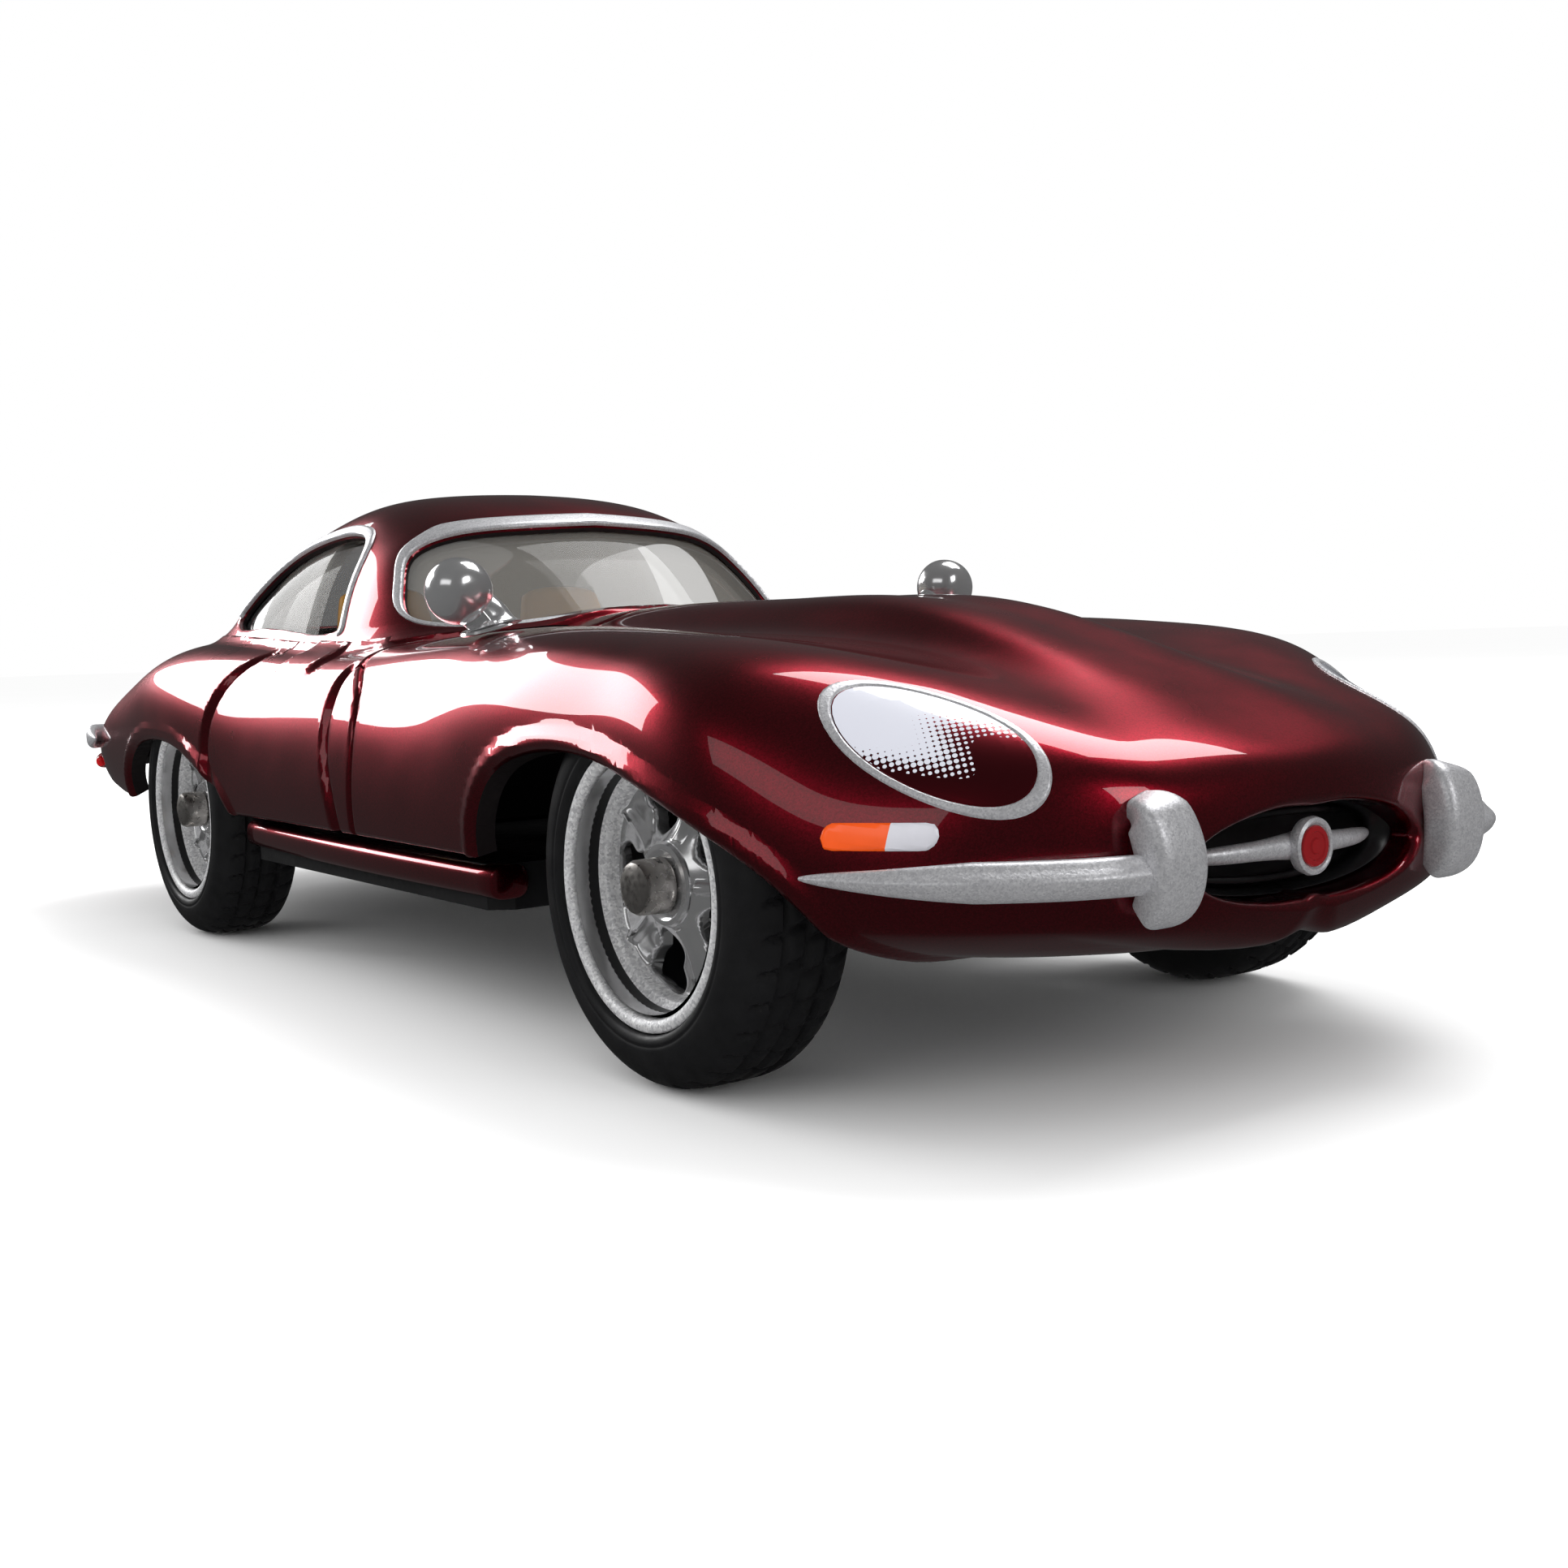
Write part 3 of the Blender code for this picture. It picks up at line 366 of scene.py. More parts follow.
class Skin:
    """A triangulated sheet that carries named numbers at its points, so that it can be split and trimmed along any
    level of one of them. Lengths are millimetres."""

    def __init__(self, sheet, wrap=False):
        rows, columns = sheet.shape[:2]
        ids = np.arange(rows * columns).reshape(rows, columns)
        far = np.roll(ids, -1, axis=1) if wrap else ids[:, 1:]
        near = ids if wrap else ids[:, :-1]
        a, b, c, d = near[:-1], far[:-1], far[1:], near[1:]
        first = np.stack([a, b, c], axis=-1).reshape(-1, 3)
        second = np.stack([a, c, d], axis=-1).reshape(-1, 3)
        self.tris = np.concatenate([first, second])
        self.data = sheet.reshape(-1, 3).astype(float)
        self.names = {}
        normals = self.vertex_normals()
        self.data = np.concatenate([self.data, normals], axis=1)

    def copy(self):
        other = object.__new__(Skin)
        other.tris, other.data, other.names = self.tris.copy(), self.data.copy(), dict(self.names)
        return other

    def flip(self):
        self.tris = self.tris[:, ::-1]
        if self.data.shape[1] > 3:
            self.data[:, 3:6] *= -1
        return self

    @property
    def points(self):
        return self.data[:, :3]

    def field(self, name):
        return self.data[:, 6 + self.names[name]]

    def add(self, name, values):
        self.names[name] = len(self.names)
        self.data = np.concatenate([self.data, np.asarray(values, float)[:, None]], axis=1)

    def vertex_normals(self, points=None):
        points = self.points if points is None else points
        a, b, c = (points[self.tris[:, k]] for k in range(3))
        face = np.cross(b - a, c - a)
        total = np.zeros((len(self.data), 3))
        for k in range(3):
            np.add.at(total, self.tris[:, k], face)
        return total / np.maximum(np.linalg.norm(total, axis=1, keepdims=True), 1e-12)

    def split(self, name, level=0.0, side=0):
        """Adds an edge line where the field passes the level. Side 1 keeps what lies above it, -1 what is below."""
        column = 6 + self.names[name]
        value = self.data[:, column] - level
        value = np.where(np.abs(value) < 2e-3, 2e-3 * (side or 1), value)
        above = value > 0
        count = above[self.tris].sum(axis=1)
        whole = [self.tris[count == n] for n, keeps in ((3, side >= 0), (0, side <= 0)) if keeps]
        mixed = self.tris[(count == 1) | (count == 2)]
        lone_above = (above[mixed].sum(axis=1) == 1)
        odd = np.argmax(above[mixed] == lone_above[:, None], axis=1)
        turned = mixed[np.arange(len(mixed))[:, None], (odd[:, None] + np.arange(3)) % 3]
        a, b, c = turned.T
        edges = np.concatenate([np.column_stack([a, b]), np.column_stack([a, c])])
        ordered = np.sort(edges, axis=1)
        unique, index = np.unique(ordered, axis=0, return_inverse=True)
        index = index.reshape(-1)
        start, end = unique.T
        t = (value[start] / (value[start] - value[end]))[:, None]
        fresh = self.data[start] * (1 - t) + self.data[end] * t
        fresh[:, column] = level
        base = len(self.data)
        ab, ac = base + index[: len(a)], base + index[len(a) :]
        self.data = np.concatenate([self.data, fresh])
        lone = np.column_stack([a, ab, ac])
        pair = np.concatenate([np.column_stack([ab, b, c]), np.column_stack([ab, c, ac])])
        pair_above = np.concatenate([~lone_above, ~lone_above])
        parts = whole
        if side >= 0:
            parts += [lone[lone_above], pair[pair_above]]
        if side <= 0:
            parts += [lone[~lone_above], pair[~pair_above]]
        self.tris = np.concatenate(parts)
        self.compact()
        return self

    def lines(self, name, levels):
        """Adds an edge line at each of those levels and keeps everything."""
        for level in levels:
            self.split(name, level)

    def compact(self):
        used, index = np.unique(self.tris, return_inverse=True)
        self.tris = index.reshape(self.tris.shape)
        self.data = self.data[used]
        a, b, c = self.tris.T
        self.tris = self.tris[(a != b) & (b != c) & (a != c)]

    def push(self, amount):
        """Moves the points outwards along the smooth sheet's own normals."""
        self.data[:, :3] += self.data[:, 3:6] * np.asarray(amount)[:, None]
        return self


def roll(distance_in, radius):
    """How far a rounded edge drops at a distance from the edge."""
    run = np.clip(distance_in, 0, radius)
    return radius - np.sqrt(np.maximum(radius**2 - (radius - run) ** 2, 0))


def ease(t):
    """From 0 to 1 with level ends, held outside that range."""
    t = np.clip(t, 0, 1)
    return t * t * (3 - 2 * t)


def crease(gap, half, depth):
    """A soft groove of that half width and depth at distance gap from its line."""
    return -depth * ease(1 - np.abs(gap) / half)


def add_object(name, mesh, body, replaces):
    """The mesh as an object that rides on the body and stands in for the CAD nodes that it replaces."""
    made = bpy.data.objects.new(name, mesh)
    bpy.context.scene.collection.objects.link(made)
    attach(made, body)
    if replaces:
        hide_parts(*replaces)
    return made


def finish_mesh(name, points, tris, normals, looks, face_looks, body, replaces=()):
    """A mesh object from triangles with a normal at each corner."""
    mesh = bpy.data.meshes.new(name)
    mesh.from_pydata(place(points), [], tris.tolist())
    for look in looks:
        mesh.materials.append(look)
    mesh.polygons.foreach_set("material_index", np.asarray(face_looks, np.int32))
    mesh.polygons.foreach_set("use_smooth", np.ones(len(tris), bool))
    mesh.update()
    mesh.normals_split_custom_set(normals.reshape(-1, 3).tolist())
    return add_object(name, mesh, body, replaces)


def shell(name, skin, base, wall, looks, body, paint=None, replaces=()):
    """A skin given thickness: base holds the points before any relief, and the inside lies a wall below them.
    Looks are outside, inside and any others, and paint gives each outer face's place among them."""
    count = len(skin.data)
    outer_normals = skin.vertex_normals()
    inner = base - skin.data[:, 3:6] * np.broadcast_to(wall, count)[:, None]
    tris = skin.tris
    inside = tris[:, ::-1] + count
    inner_normals = -skin.data[:, 3:6]
    a, b = np.concatenate([tris[:, [0, 1]], tris[:, [1, 2]], tris[:, [2, 0]]]).T
    key, back = a * count + b, b * count + a
    rim = ~np.isin(key, back)
    a, b = a[rim], b[rim]
    halves = [np.column_stack([b, a, a + count]), np.column_stack([b, a + count, b + count])]
    wall_tris = np.concatenate(halves)
    points = np.concatenate([skin.points, inner])
    p, q, r = (points[wall_tris[:, k]] for k in range(3))
    face = np.cross(q - p, r - p)
    edge_normals = np.zeros((2 * count, 3))
    for k in range(3):
        np.add.at(edge_normals, wall_tris[:, k], face)
    edge_normals /= np.maximum(np.linalg.norm(edge_normals, axis=1, keepdims=True), 1e-12)
    every = np.concatenate([tris, inside, wall_tris])
    both = np.concatenate([outer_normals, inner_normals])
    normals = np.concatenate([both[tris], both[inside], edge_normals[wall_tris]])
    painted = np.zeros(len(tris), int) if paint is None else paint
    face_looks = np.concatenate([painted, np.full(len(inside) + len(wall_tris), 1)])
    return finish_mesh(name, points, every, normals, looks, face_looks, body, replaces)


# ---------------------------------------------------------------- swept and turned forms


def ring_faces(rings, around, closed=False):
    """Faces between rings of points: capped at both ends, or closed back onto the first ring."""
    faces = []
    for i in range(rings if closed else rings - 1):
        after = (i + 1) % rings
        for j in range(around):
            k = (j + 1) % around
            faces.append((i * around + j, i * around + k, after * around + k, after * around + j))
    if not closed:
        faces.append(tuple(range(around - 1, -1, -1)))
        faces.append(tuple((rings - 1) * around + j for j in range(around)))
    return faces


def solid(name, points, faces, look, body, replaces=(), sharp=40):
    mesh = bpy.data.meshes.new(name)
    mesh.from_pydata([tuple(p) for p in place(points)], [], faces)
    work = bmesh.new()
    work.from_mesh(mesh)
    bmesh.ops.recalc_face_normals(work, faces=work.faces)
    work.to_mesh(mesh)
    work.free()
    mesh.materials.append(look)
    mesh.polygons.foreach_set("use_smooth", np.ones(len(mesh.polygons), bool))
    mesh.update()
    mesh.set_sharp_from_angle(angle=math.radians(sharp))
    return add_object(name, mesh, body, replaces)


def sweep_rings(path, sizes, power=2.0, around=32, guide=(0, 0, 1), section=None):
    """Rings of a superellipse section along a path; a size is (sideways, upright)."""
    path = np.asarray(path, float)
    ahead = np.gradient(path, axis=0)
    shape = superellipse(1, 1, power, around) if section is None else np.asarray(section, float)
    rings = []
    for p, d, (wide, tall) in zip(path, ahead, sizes):
        d = d / np.linalg.norm(d)
        side = np.cross(d, np.asarray(guide, float))
        side /= np.linalg.norm(side)
        up = np.cross(side, d)
        rings.append(p - np.outer(shape[:, 0] * wide, side) + np.outer(shape[:, 1] * tall, up))
    return rings


def rounded_ends(path, sizes, start=0.0, end=0.0, steps=6):
    """Adds end stations so that a sweep closes in quarter-round ends of those lengths."""
    path = [np.asarray(p, float) for p in path]
    sizes = [np.asarray(s, float) for s in sizes]
    for length, first in ((start, True), (end, False)):
        if not length:
            continue
        tip, inner = (path[0], path[1]) if first else (path[-1], path[-2])
        size = sizes[0] if first else sizes[-1]
        ahead = (tip - inner) / np.linalg.norm(tip - inner)
        turns = np.arange(1, steps + 1) / steps * math.pi / 2
        for turn in turns:
            p = tip + ahead * length * math.sin(turn)
            s = size * max(math.cos(turn), 0.02)
            if first:
                path.insert(0, p)
                sizes.insert(0, s)
            else:
                path.append(p)
                sizes.append(s)
    return path, sizes


def sweep(name, path, sizes, look, body, power=2.0, around=32, guide=(0, 0, 1), ends=(0, 0), replaces=(), sharp=40,
          section=None):
    path, sizes = rounded_ends(path, sizes, *ends)
    rings = sweep_rings(path, sizes, power, around, guide, section)
    return solid(name, np.concatenate(rings), ring_faces(len(rings), around), look, body, replaces, sharp)


def turned_points(profile, around, centre, axis):
    """Rings of a closed or open profile of (radius, height) turned round an axis direction through centre."""
    axis = np.asarray(axis, float) / np.linalg.norm(axis)
    guide = np.array([1.0, 0, 0]) if abs(axis[0]) < 0.9 else np.array([0, 0, 1.0])
    side = np.cross(guide, axis)
    side /= np.linalg.norm(side)
    other = np.cross(axis, side)
    turn = np.arange(around) * 2 * math.pi / around
    spoke = np.outer(np.cos(turn), side) + np.outer(np.sin(turn), other)
    return [np.asarray(centre, float) + axis * h + spoke * max(r, 1e-3) for r, h in profile]


def turned(name, profile, look, body, centre, axis, around=64, replaces=(), sharp=35, closed=False):
    rings = turned_points(profile, around, centre, axis)
    faces = ring_faces(len(rings), around, closed)
    return solid(name, np.concatenate(rings), faces, look, body, replaces, sharp)


# ---------------------------------------------------------------- body surfaces

LOWER = [
    [(12.95, 0, 7.95), (12.95, 1.6, 7.87), (12.9, 3.0, 7.6), (12.75, 4.3, 7.1), (12.65, 4.9, 6.55),
     (12.75, 4.6, 6.0), (12.85, 3.6, 5.5), (12.95, 2.0, 5.17), (12.95, 0, 5.05)],
    [(12.75, 0, 8.65), (12.7, 2.1, 8.6), (12.6, 4.0, 8.35), (12.35, 5.7, 7.85), (12.1, 6.6, 7.1),
     (12.1, 6.6, 6.2), (12.3, 5.5, 5.1), (12.55, 3.1, 4.6), (12.65, 0, 4.45)],
    [(11.2, 0, 9.75), (11.2, 2.5, 9.75), (11.1, 4.9, 9.6), (10.7, 7.5, 9.3), (10.1, 9.1, 8.4),
     (9.9, 9.85, 6.9), (10.1, 9.3, 5.1), (10.8, 6.3, 3.9), (11.2, 0, 3.7)],
    [(8.2, 0, 11.05), (8.2, 2.5, 11.0), (8.1, 4.6, 10.7), (7.6, 8.1, 10.7), (7.0, 10.7, 9.7),
     (6.6, 12.15, 7.4), (6.8, 11.6, 4.9), (7.6, 9.4, 3.6), (8.2, 0, 3.4)],
    [(4.2, 0, 12.35), (4.2, 2.5, 12.25), (4.2, 4.3, 11.6), (4.0, 9.4, 11.9), (3.8, 12.3, 10.95),
     (3.6, 13.25, 8.2), (3.8, 12.4, 4.9), (4.0, 10.6, 3.5), (4.2, 0, 3.3)],
    [(-1.0, 0, 13.5), (-1.0, 2.6, 13.35), (-1.0, 4.4, 12.3), (-1.0, 9.8, 12.6), (-1.0, 12.45, 11.65),
     (-1.0, 13.2, 8.5), (-1.0, 12.75, 4.9), (-1.0, 11.0, 3.5), (-1.0, 0, 3.3)],
    [(-6.5, 0, 13.72), (-6.5, 2.7, 13.55), (-6.5, 4.6, 12.6), (-6.5, 9.7, 12.95), (-6.5, 12.4, 11.85),
     (-6.5, 13.2, 8.5), (-6.5, 12.8, 5.0), (-6.5, 11.2, 3.6), (-6.5, 0, 3.4)],
    [(-12.5, 0, 13.8), (-12.5, 2.9, 13.65), (-12.5, 4.9, 12.85), (-12.5, 9.3, 13.0), (-12.5, 11.85, 11.75),
     (-12.5, 13.05, 8.3), (-12.5, 12.8, 5.1), (-12.5, 11.4, 3.7), (-12.5, 0, 3.5)],
    [(-18.5, 0, 13.6), (-18.5, 3.2, 13.5), (-18.5, 5.6, 13.0), (-18.5, 9.5, 12.8), (-18.5, 11.95, 11.5),
     (-18.5, 13.05, 8.2), (-18.5, 12.8, 5.2), (-18.5, 11.5, 3.8), (-18.5, 0, 3.6)],
    [(-24.5, 0, 13.2), (-24.5, 3.5, 13.15), (-24.5, 6.8, 13.0), (-24.5, 9.9, 12.6), (-24.5, 12.05, 11.3),
     (-24.5, 13.1, 8.1), (-24.5, 12.8, 5.2), (-24.5, 11.5, 3.8), (-24.5, 0, 3.6)],
    [(-30.5, 0, 13.1), (-30.5, 3.6, 13.1), (-30.5, 7.1, 13.0), (-30.5, 10.2, 12.65), (-30.5, 12.25, 11.4),
     (-30.5, 13.25, 8.2), (-30.5, 12.9, 5.2), (-30.5, 11.5, 3.9), (-30.5, 0, 3.6)],
    [(-36.5, 0, 13.3), (-36.5, 3.7, 13.3), (-36.5, 7.3, 13.2), (-36.5, 10.6, 12.9), (-36.5, 12.8, 11.7),
     (-36.5, 13.6, 8.6), (-36.5, 13.1, 5.3), (-36.5, 11.5, 4.0), (-36.5, 0, 3.7)],
    [(-42.5, 0, 13.4), (-42.5, 3.7, 13.4), (-42.5, 7.3, 13.3), (-42.5, 10.6, 12.95), (-42.5, 12.75, 11.7),
     (-42.5, 13.55, 8.8), (-42.5, 13.0, 5.5), (-42.5, 11.3, 4.2), (-42.5, 0, 3.9)],
    [(-48.0, 0, 12.9), (-48.0, 3.6, 12.9), (-48.0, 7.1, 12.8), (-48.0, 10.0, 12.4), (-48.0, 12.1, 11.1),
     (-48.0, 13.15, 8.7), (-48.0, 12.6, 5.8), (-48.0, 10.8, 4.6), (-48.0, 0, 4.3)],
    [(-52.7, 0, 11.8), (-52.7, 3.4, 11.8), (-52.6, 6.7, 11.7), (-52.5, 9.4, 11.3), (-52.4, 11.5, 10.3),
     (-52.3, 12.6, 8.6), (-52.4, 12.0, 6.3), (-52.5, 9.9, 5.2), (-52.7, 0, 4.9)],
    [(-56.4, 0, 10.5), (-56.3, 3.2, 10.5), (-56.1, 6.2, 10.4), (-55.8, 8.6, 10.1), (-55.5, 10.3, 9.4),
     (-55.4, 11.1, 8.4), (-55.5, 10.5, 7.1), (-55.9, 8.2, 6.2), (-56.4, 0, 5.9)],
    [(-58.4, 0, 9.1), (-58.4, 2.6, 9.1), (-58.2, 4.8, 9.05), (-57.9, 6.6, 8.9), (-57.7, 7.8, 8.6),
     (-57.6, 8.3, 8.15), (-57.7, 7.8, 7.6), (-58.0, 6.0, 7.25), (-58.4, 0, 7.1)],
]

UPPER = [
    [(-17.0, 0, 13.2), (-17.6, 4.2, 13.1), (-19.2, 7.4, 12.8), (-21.3, 9.2, 12.4), (-23.6, 10.0, 12.0),
     (-25.2, 10.3, 11.6)],
    [(-19.6, 0, 15.3), (-20.1, 4.1, 15.15), (-21.4, 7.0, 14.8), (-22.9, 8.8, 14.3), (-24.8, 9.7, 13.4),
     (-26.2, 10.25, 11.7)],
    [(-22.4, 0, 17.35), (-22.8, 4.0, 17.15), (-23.8, 6.7, 16.7), (-24.8, 8.3, 16.0), (-26.2, 9.3, 14.6),
     (-27.4, 10.2, 11.8)],
    [(-24.2, 0, 18.25), (-24.5, 3.9, 18.0), (-25.2, 6.4, 17.5), (-26.2, 8.0, 16.7), (-27.6, 9.15, 15.0),
     (-28.8, 10.2, 11.8)],
    [(-28.0, 0, 19.15), (-28.1, 3.9, 18.95), (-28.4, 6.3, 18.4), (-28.9, 7.9, 17.3), (-30.0, 9.1, 15.2),
     (-31.0, 10.2, 11.8)],
    [(-34.0, 0, 19.0), (-34.0, 3.9, 18.8), (-34.0, 6.3, 18.25), (-34.2, 7.9, 17.1), (-34.8, 9.15, 15.1),
     (-35.4, 10.25, 11.8)],
    [(-40.0, 0, 17.75), (-40.0, 3.8, 17.55), (-39.8, 6.2, 17.05), (-39.5, 7.9, 16.0), (-39.4, 9.15, 14.4),
     (-39.4, 10.2, 11.8)],
    [(-46.0, 0, 15.4), (-45.9, 3.6, 15.25), (-45.6, 5.9, 14.8), (-45.0, 7.6, 14.0), (-44.2, 8.9, 12.9),
     (-43.6, 9.9, 11.4)],
    [(-51.3, 0, 12.65), (-51.1, 3.4, 12.5), (-50.7, 5.5, 12.2), (-50.0, 7.1, 11.8), (-48.8, 8.4, 11.3),
     (-47.6, 9.3, 10.8)],
    [(-55.2, 0, 10.5), (-55.0, 3.2, 10.4), (-54.5, 5.1, 10.25), (-53.6, 6.6, 10.3), (-52.0, 7.8, 10.35),
     (-50.4, 8.6, 10.4)],
]

SIDE_WINDOW = [(-26.9, 13.5), (-27.2, 15.2), (-27.7, 16.9), (-28.9, 17.35), (-31.5, 17.4), (-34.5, 17.15),
               (-37.5, 16.5), (-40.0, 15.25), (-41.1, 14.4), (-40.4, 14.05), (-37.0, 13.75), (-32.0, 13.5),
               (-28.0, 13.35)]
WINDSCREEN = [(0, 13.7), (4.5, 13.6), (7.6, 13.4), (8.75, 13.75), (8.5, 15.0), (7.7, 16.3), (6.4, 16.95),
              (4.0, 17.3), (0, 17.5)]
REAR_WINDOW = [(-38.2, 0), (-38.4, 3.2), (-39.4, 4.9), (-42.0, 5.1), (-45.5, 4.8), (-47.6, 4.1),
               (-48.4, 2.6), (-48.5, 0)]
BONNET_EDGE = [(-14.9, 0), (-15.2, 3.0), (-16.4, 6.0), (-18.7, 8.4), (-21.0, 9.8), (-21.3, 10.6),
               (-20.2, 11.7), (-18.9, 12.5), (-18.4, 13.3), (-18.4, 16)]
FRONT_ARCH = [(-8.6, 0), (-8.8, 5.0), (-8.7, 6.6), (-7.8, 8.2), (-5.8, 9.1), (-3.2, 9.35), (-0.8, 9.1),
              (1.6, 8.5), (3.9, 7.6), (5.8, 6.5), (7.0, 5.2), (7.4, 3.8), (7.4, 0)]
REAR_ARCH = [(-46.3, 0), (-46.2, 4.5), (-45.5, 6.6), (-43.6, 8.2), (-40.8, 8.8), (-37.9, 8.7), (-34.8, 7.9),
             (-32.6, 6.8), (-31.4, 5.8), (-30.9, 4.2), (-30.9, 0)]
UNDER_FRONT = [(-19, -5), (8.6, -5), (8.6, 3.9), (6.5, 4.4), (5, SILL_TOP + 0.1), (-30, SILL_TOP + 0.1), (-30, -5)]
UNDER_REAR = [(-10, -5), (-10, SILL_TOP + 0.1), (-48, SILL_TOP + 0.1), (-57, 6.9), (-65, 6.9), (-65, -5)]
DOOR_FRONT = [(-21.6, 11.7), (-21.4, 10.2), (-20.9, 8.1), (-20.3, 6.6), (-20.2, 5.0)]
DOOR_REAR = [(-32.0, 12.3), (-32.7, 11.2), (-33.4, 9.4), (-33.3, 8.0), (-32.3, 6.7), (-31.2, 5.6)]

ALONG = 20
ACROSS = 12
ACROSS_UPPER = 18
FAR = 9.0  # a field's value where its line doesn't apply
half = smooth_sheet(LOWER, ALONG, ACROSS, True)

# The rows next to the bottom centre line stay in order, so that the sheet can't fold over itself there.
LEAST_SPREAD = 0.5
taper = np.linspace(1, 0, ACROSS + 1)
bottom = half[:, -ACROSS - 1 :, 1]
half[:, -ACROSS - 1 :, 1] = np.maximum(bottom, bottom[:, :1] * taper * LEAST_SPREAD)

# The chin is drawn up towards this height behind the nose, clear of the hinge ears.
CHIN_LINE = 5.2
squash = np.interp(half[..., 0], (3.0, 7.0, 11.2, 12.6), (1.0, 0.52, 0.52, 0.85))
half[..., 2] = np.where(half[..., 2] < CHIN_LINE, CHIN_LINE - (CHIN_LINE - half[..., 2]) * squash, half[..., 2])


def full_loop(sheet):
    """A closed half sheet with its mirror image: rings that start and end at the bottom centre line."""
    return np.concatenate([(sheet * (1, -1, 1))[:, ::-1][:, :-1], sheet[:, :-1]], axis=1)


def mouth_lip(ring, radius=0.32, depth=2.2):
    """Rings from the back of the mouth tunnel, round the lip, up to the front ring of the body."""
    centre = ring.mean(axis=0) * (0, 1, 1)
    out = ring * (0, 1, 1) - centre
    out /= np.linalg.norm(out, axis=1, keepdims=True)
    rings = [ring - out * radius - (depth, 0, 0)]
    for turn in np.linspace(math.pi / 2, 0, 9)[:-1]:
        rings.append(ring - out * radius * math.sin(turn) - (radius * (1 - math.cos(turn)), 0, 0))
    return np.array(rings)


def tail_cap(ring, radius=0.35):
    """Rings that close the tail in a softly domed panel."""
    centre = ring.mean(axis=0)
    rings = []
    for share in (0.97, 0.93, 0.88, 0.8, 0.6, 0.4, 0.2, 0.02):
        inward = centre + (ring - centre) * share
        inward[:, 0] = centre[0] + (ring[:, 0] - centre[0]) * share - radius * min(1.0, (1 - share) * 6)
        rings.append(inward)
    return np.array(rings)


rings = full_loop(half)
lip = mouth_lip(rings[0])
lower = Skin(np.concatenate([lip, rings, tail_cap(rings[-1])]), wrap=True)
plain = Skin(rings, wrap=True)
if np.sum(lower.data[:, 3:6] * (lower.points - (-20, 0, 8)) * (0, 1, 0)) < 0:
    lower.flip()

upper_half = smooth_sheet(UPPER, ALONG, ACROSS_UPPER, False)
upper_half[..., 2] -= 0.02 * np.clip((upper_half[..., 2] - 17) / 2, 0, 1)
upper = Skin(np.concatenate([(upper_half * (1, -1, 1))[:, ::-1][:, :-1], upper_half], axis=1))
if upper.data[:, 5].mean() < 0:
    upper.flip()

tree = BVHTree.FromPolygons([tuple(p) for p in plain.points], plain.tris.tolist())


def deck_height(points):
    """Height of the body's top surface under each point."""
    found = []
    for x, y, _ in points:
        hit = tree.ray_cast(Vector((x, y, 30.0)), Vector((0, 0, -1)))[0]
        found.append(hit.z if hit is not None else 0.0)
    return np.array(found)


upper.add("rise", upper.points[:, 2] - deck_height(upper.points))
FOOTPRINT_STEPS = 4


def footprint():
    """Plan outline where the greenhouse meets the body, from the front centre line round the +Y side."""
    grid = upper.field("rise").reshape(len(upper_half), -1)
    xyz = upper.points.reshape(len(upper_half), -1, 3)
    centre = upper_half.shape[1] - 1
    outline = []
    column = grid[:, centre]
    front = int(np.argmax(column > 0))
    back = len(column) - 1 - int(np.argmax(column[::-1] > 0))

    def crossing(a, b, fa, fb):
        return a + (b - a) * fa / (fa - fb)

    if front > 0:
        outline.append(crossing(xyz[front - 1, centre], xyz[front, centre], column[front - 1], column[front]))
    else:
        outline.append(xyz[0, centre])
    for i in range(front, back + 1, FOOTPRINT_STEPS):
        row = grid[i, centre:]
        below = np.nonzero(row < 0)[0]
        if len(below) == 0 or below[0] == 0:
            continue
        j = centre + below[0]
        outline.append(crossing(xyz[i, j - 1], xyz[i, j], grid[i, j - 1], grid[i, j]))
    if back + 1 < len(column):
        outline.append(crossing(xyz[back, centre], xyz[back + 1, centre], column[back], column[back + 1]))
    else:
        outline.append(xyz[back, centre])
    return np.array(outline)[:, :2]


foot = footprint()
foot[0, 1] = foot[-1, 1] = 0
foot_loop = mirror_outline(foot)

p = lower.points
bonnet_plan = smooth_line(BONNET_EDGE, 6)
lower.add("seam", -distance(p[:, :2], mirror_outline(np.concatenate([bonnet_plan, [(20, 16), (20, 0)]]))))
side_view = p[:, [0, 2]]
lower.add("arch_front", distance(side_view, smooth_line(FRONT_ARCH, 6)))
lower.add("arch_rear", distance(side_view, smooth_line(REAR_ARCH, 6)))
lower.add("under_front", distance(side_view, UNDER_FRONT))
lower.add("under_rear", distance(side_view, UNDER_REAR))
lower.add("foot", np.where(p[:, 2] > 9, distance(p[:, :2], foot_loop), FAR))
DOOR_SIDE = 8
for name, table in (("door_front", DOOR_FRONT), ("door_rear", DOOR_REAR)):
    line = smooth_line(table, 4)
    ahead = distance(side_view, np.concatenate([line, [(0, line[-1, 1] - 9), (0, line[0, 1] + 9)]]))
    signed = np.copysign(distance(side_view, line, False), ahead)
    lower.add(name, np.where(np.abs(p[:, 1]) > DOOR_SIDE, signed, FAR))
handle = distance(side_view, [(-28.6, 11.95), (-25.6, 11.85), (-25.2, 12.3), (-28.2, 12.42)])
lower.add("handle", np.where(np.abs(p[:, 1]) > DOOR_SIDE, handle, FAR))

